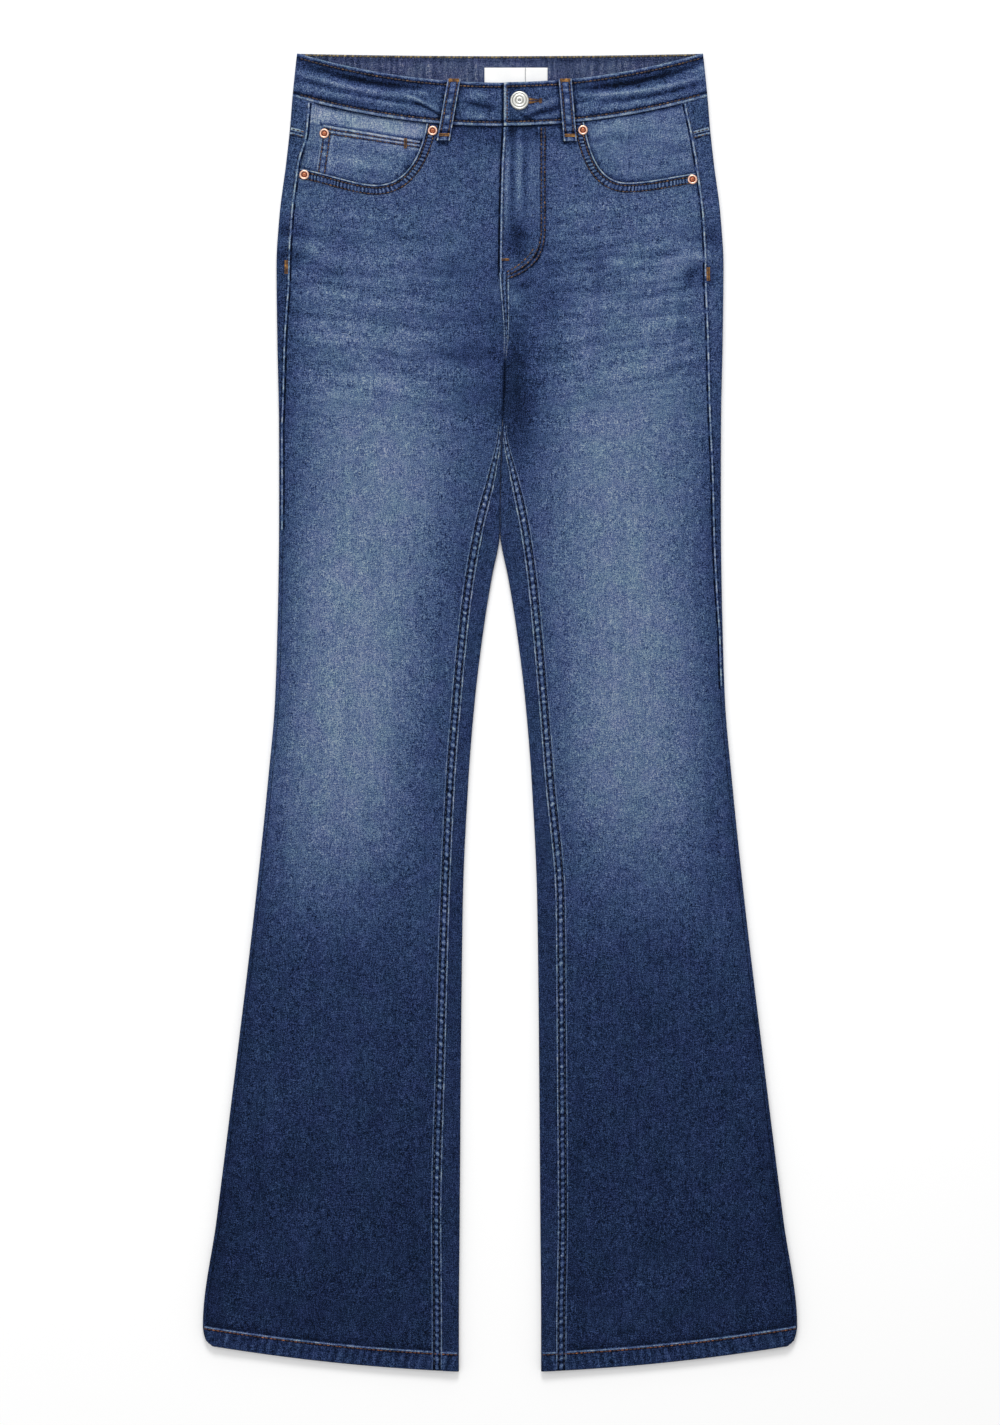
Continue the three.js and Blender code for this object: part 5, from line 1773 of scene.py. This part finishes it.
def loop_line(top, end, across):
    """A line down a belt loop, at a share of its width."""
    share = np.linspace(0.03, 0.85, 40)
    x = mix(top[0], end[0], share) + (across - 0.5) * LOOP_WIDTH
    return place(x, mix(top[1], end[1], share), loop_height(share, across) + 0.02)


def loop_tack(x, down, z, width):
    """A bar tack across a belt loop."""
    ends = [(x + shift, LENGTH / 2 - down, z) for shift in (-TACK_REACH, TACK_REACH)]
    return bar_tack(*ends, width, 15)


loop_tacks = []
for top, end in FRONT_LOOPS.values():
    for across in (0.2, 0.8):
        brown.append(loop_line(top, end, across))
    for share in (0.025, 0.91):
        x, down = (mix(a, b, share) for a, b in zip(top, end))
        loop_tacks.append(loop_tack(x, down, float(loop_height(np.array(share), np.array(0.5))) + 0.15, 2.8))
back_tacks = []
for x0 in BACK_LOOPS.values():
    down = np.linspace(BACK_LOOP_TOP + 2, BACK_LOOP_END - 3, 40)
    for across in (0.2, 0.8):
        brown_under.append(place(x0 + (across - 0.5) * LOOP_WIDTH, down, 0.3))
    back_tacks += [loop_tack(x0, at, 0.36, 1.9) for at in (BACK_LOOP_TOP + 1.5, BACK_LOOP_END - 2)]

# Stitches on the back pockets


def pocket_outline(side, inset):
    """The stitched line of a back pocket: down one side, to the point and up the other."""
    p = BACK_POCKET
    up = np.linspace(inset, p["height"] - p["point"], 40)
    half = pocket_half(up) - inset
    up[-1] -= inset * 0.2
    across = np.r_[-half, 0.0, half[::-1]]
    x, down = pocket_frame(side, across, np.r_[up, p["height"] - inset * 1.15, up[::-1]])
    return place(x, down, POCKET_THREAD)


for side in SIDES:
    for inset in (2.2, 8.0):
        gold_under.append(pocket_outline(side, inset))
    across = np.linspace(-60, 60, 40)
    x, down = pocket_frame(side, across, np.full_like(across, 12.0))
    brown_under.append(place(x, down, POCKET_THREAD))

stitches("stitches_brown", brown, THREAD_BROWN, thick=1.1, length=2.7)
stitches("stitches_khaki", khaki, THREAD_KHAKI, thick=1.9, length=3.2, pitch=3.3)
HEM_STITCH = dict(thick=1.0, length=3.0)
stitches("stitches_hem", rust, THREAD_RUST, "denim_front", pitch=3.5, **HEM_STITCH)
stitches("stitches_inseam", blue, THREAD_BLUE, "denim_front", thick=0.75, length=3.1, pitch=4.3)
stitches("stitches_back", brown_under, THREAD_BROWN, "denim_back", facing=-1)
stitches("stitches_back_pockets", gold_under, THREAD_GOLD, "denim_back", facing=-1)
stitches("stitches_hem_under", rust_under, THREAD_RUST, "denim_back", pitch=3.7, facing=-1, **HEM_STITCH)

coin_tack = bar_tack((-80.3, LENGTH / 2 - 72.5, 6.0), (-80.3, LENGTH / 2 - 80.5, 6.0), 2.6, 12)
fly_tack = bar_tack((1.5, LENGTH / 2 - 175.5, 8.6), (7.5, LENGTH / 2 - 175.5, 8.6), 2.0, 10)
tacks("bar_tacks", loop_tacks + side_tacks + [coin_tack, fly_tack], THREAD_GOLD)
tacks("bar_tacks_back", back_tacks, THREAD_GOLD, "denim_back", -1)


def buttonhole():
    """Close stitches round the buttonhole, from the button to the hole's end, and across its end."""
    y, z = LENGTH / 2 - BUTTON["down"], HIP_TOP + GAP + BAND + 0.2
    start, end = BUTTON["x"] + 5.0, BUTTON["x"] + BUTTONHOLE_END + 0.5
    rows = []
    for x in np.arange(start, end, 0.7):
        spread_out = mix(3.0, 1.0, (x - start) / (end - start))
        rows += [[[x, y + sign * 0.35, z], [x, y + sign * spread_out, z]] for sign in (-1, 1)]
    return rows + [[[end + step, y - 2.2, z], [end + step, y + 2.2, z]] for step in (0.2, 1.0, 1.8)]


tacks("buttonhole", [buttonhole()], THREAD_GOLD)


# ---------------------------------------------------------------- metal


def lathe(name, profile, x, down, base, material, slot, node=None, segments=48):
    """A turned piece: a profile of radius and height swept round the vertical. A third value, if
    given, says how deep in a groove a place is."""
    radius, height, groove = np.array([(*spot, 0)[:3] for spot in profile], float).T
    angle = np.arange(segments) * 2 * np.pi / segments
    y = LENGTH / 2 - down
    ring_x, ring_y = (
        at + radius[1:-1, None] * around for at, around in ((x, np.cos(angle)), (y, np.sin(angle)))
    )
    rings = np.stack(np.broadcast_arrays(ring_x, ring_y, base + height[1:-1, None]), axis=-1)
    points = np.concatenate([rings.reshape(-1, 3), [[x, y, base + height[0]], [x, y, base + height[-1]]]])
    index = joined_round(np.arange(ring_x.size).reshape(ring_x.shape))
    low, high = np.full(segments, ring_x.size), np.full(segments, ring_x.size + 1)
    fans = [np.stack([low, index[0, 1:], index[0, :-1]], 1)]
    fans += [np.stack([high, index[-1, :-1], index[-1, 1:]], 1)]
    sides = quads(index)
    triangles = np.concatenate([sides[:, [0, 1, 2]], sides[:, [0, 2, 3]], *fans])
    grooves = np.r_[np.repeat(groove[1:-1], segments), 0, 0]
    piece = new_piece(name, points, triangles[:, ::-1], material, {"groove": grooves})
    if node:
        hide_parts(node)
    return piece


def button():
    """A shank button: a neck through the buttonhole and a domed cap with two turned rings."""
    r, neck, cap = BUTTON["radius"], BUTTON["neck"], BUTTON["cap"]
    rim = GAP + BAND
    face = rim + cap
    profile = [(0, 0), (neck, 0), (neck, rim), (r - 0.8, rim), (r - 0.15, rim + 0.4), (r, rim + 0.9)]
    profile += [(r - 0.2, face - 0.5), (r - 0.6, face - 0.15), (r - 1.1, face)]
    # The rings' grooves are marked to be tinted dark: painted shade.
    for ring in (5.9, 3.3):
        profile += [(ring + 0.7, face), (ring + 0.3, face - 0.3, 1)]
        profile += [(ring - 0.3, face - 0.3, 1), (ring - 0.7, face)]
    profile += [(1.0, face - 0.02), (0, face)]
    where = (BUTTON["x"], BUTTON["down"], HIP_TOP + GAP)
    return lathe("button", profile, *where, SILVER, "silver_metal", "button", 72)


def rivet(name, x, down):
    """A rivet: a rounded rim, a sunk ring and a nub in its middle."""
    base = HIP_TOP + 0.5 + GAP if name != "rivet_coin_pocket" else HIP_TOP - CLOTH
    r, h = RIVET_RADIUS, RIVET_HEIGHT
    rim = [(0, 0), (r - 0.2, 0), (r, 0.3), (r - 0.15, h * 0.6), (r - 0.7, h - 0.12), (r - 1.2, h - 0.12)]
    rim += [(r - 1.7, h * 0.62, 0.7), (2.2, 0.42, 1), (1.5, 0.4, 1), (0, 0.4, 1)]
    lathe(name, rim, x, down, base, COPPER, "copper_metal", name)
    nub = [(0, 0.1), (1.75, 0.1), (1.7, 0.62), (1.2, h * 0.78), (0.6, h * 0.84), (0, h * 0.84)]
    lathe(f"{name}_nub", nub, x, down, base, COPPER_DARK, "copper_metal", None, 28)


button()
for name, (x, down) in RIVETS.items():
    rivet(name, x, down)

for material_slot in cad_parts["zip"].material_slots:
    material_slot.material = ZIP_NAVY


# ---------------------------------------------------------------- floor, light and camera


def floor():
    """A white surface just under the jeans, that gives off a little light."""
    mesh = bpy.data.meshes.new("floor")
    corners = [(-3, -3, 0), (3, -3, 0), (3, 3, 0), (-3, 3, 0)]
    mesh.from_pydata(corners, [], [(0, 1, 2, 3)])
    piece = linked("floor", mesh, (0, 0, -0.0004))
    material, n, shader = new_material("floor_white")
    n.fill(shader, Base_Color=(0.98, 0.98, 0.98, 1), Roughness=0.9, Specular_IOR_Level=0.0)
    n.fill(shader, Emission_Color=(1, 1, 1, 1), Emission_Strength=0.05)
    mesh.materials.append(material)


def light(name, place_at, size, watts):
    """A round lamp that faces the middle of the jeans."""
    data = bpy.data.lights.new(name, "AREA")
    data.shape, data.size, data.energy = "DISK", size, watts
    lamp = linked(name, data, place_at)
    lamp.rotation_euler = (-Vector(place_at)).to_track_quat("-Z", "Y").to_euler()


def surroundings():
    """Even white light from all round."""
    world = bpy.data.worlds.new("studio")
    bpy.context.scene.world = world
    world.use_nodes = True
    background = world.node_tree.nodes["Background"]
    background.inputs["Color"].default_value = (1, 1, 1, 1)
    background.inputs["Strength"].default_value = 0.62


def camera():
    """Straight down, so far up that FRAME_HEIGHT is the height that the picture shows."""
    data = bpy.data.cameras.new("camera")
    data.lens, data.sensor_width, data.sensor_fit = LENS, SENSOR, "AUTO"
    eye = linked("camera", data, (0, 0, FRAME_HEIGHT * LENS / SENSOR + 0.004))
    bpy.context.scene.camera = eye


floor()
surroundings()
light("key", (0.0, 2.6, 2.3), 1.3, 62.0)
light("fill", (-1.6, 0.4, 3.0), 2.0, 16.0)
camera()
bpy.context.scene.view_settings.view_transform = "Standard"
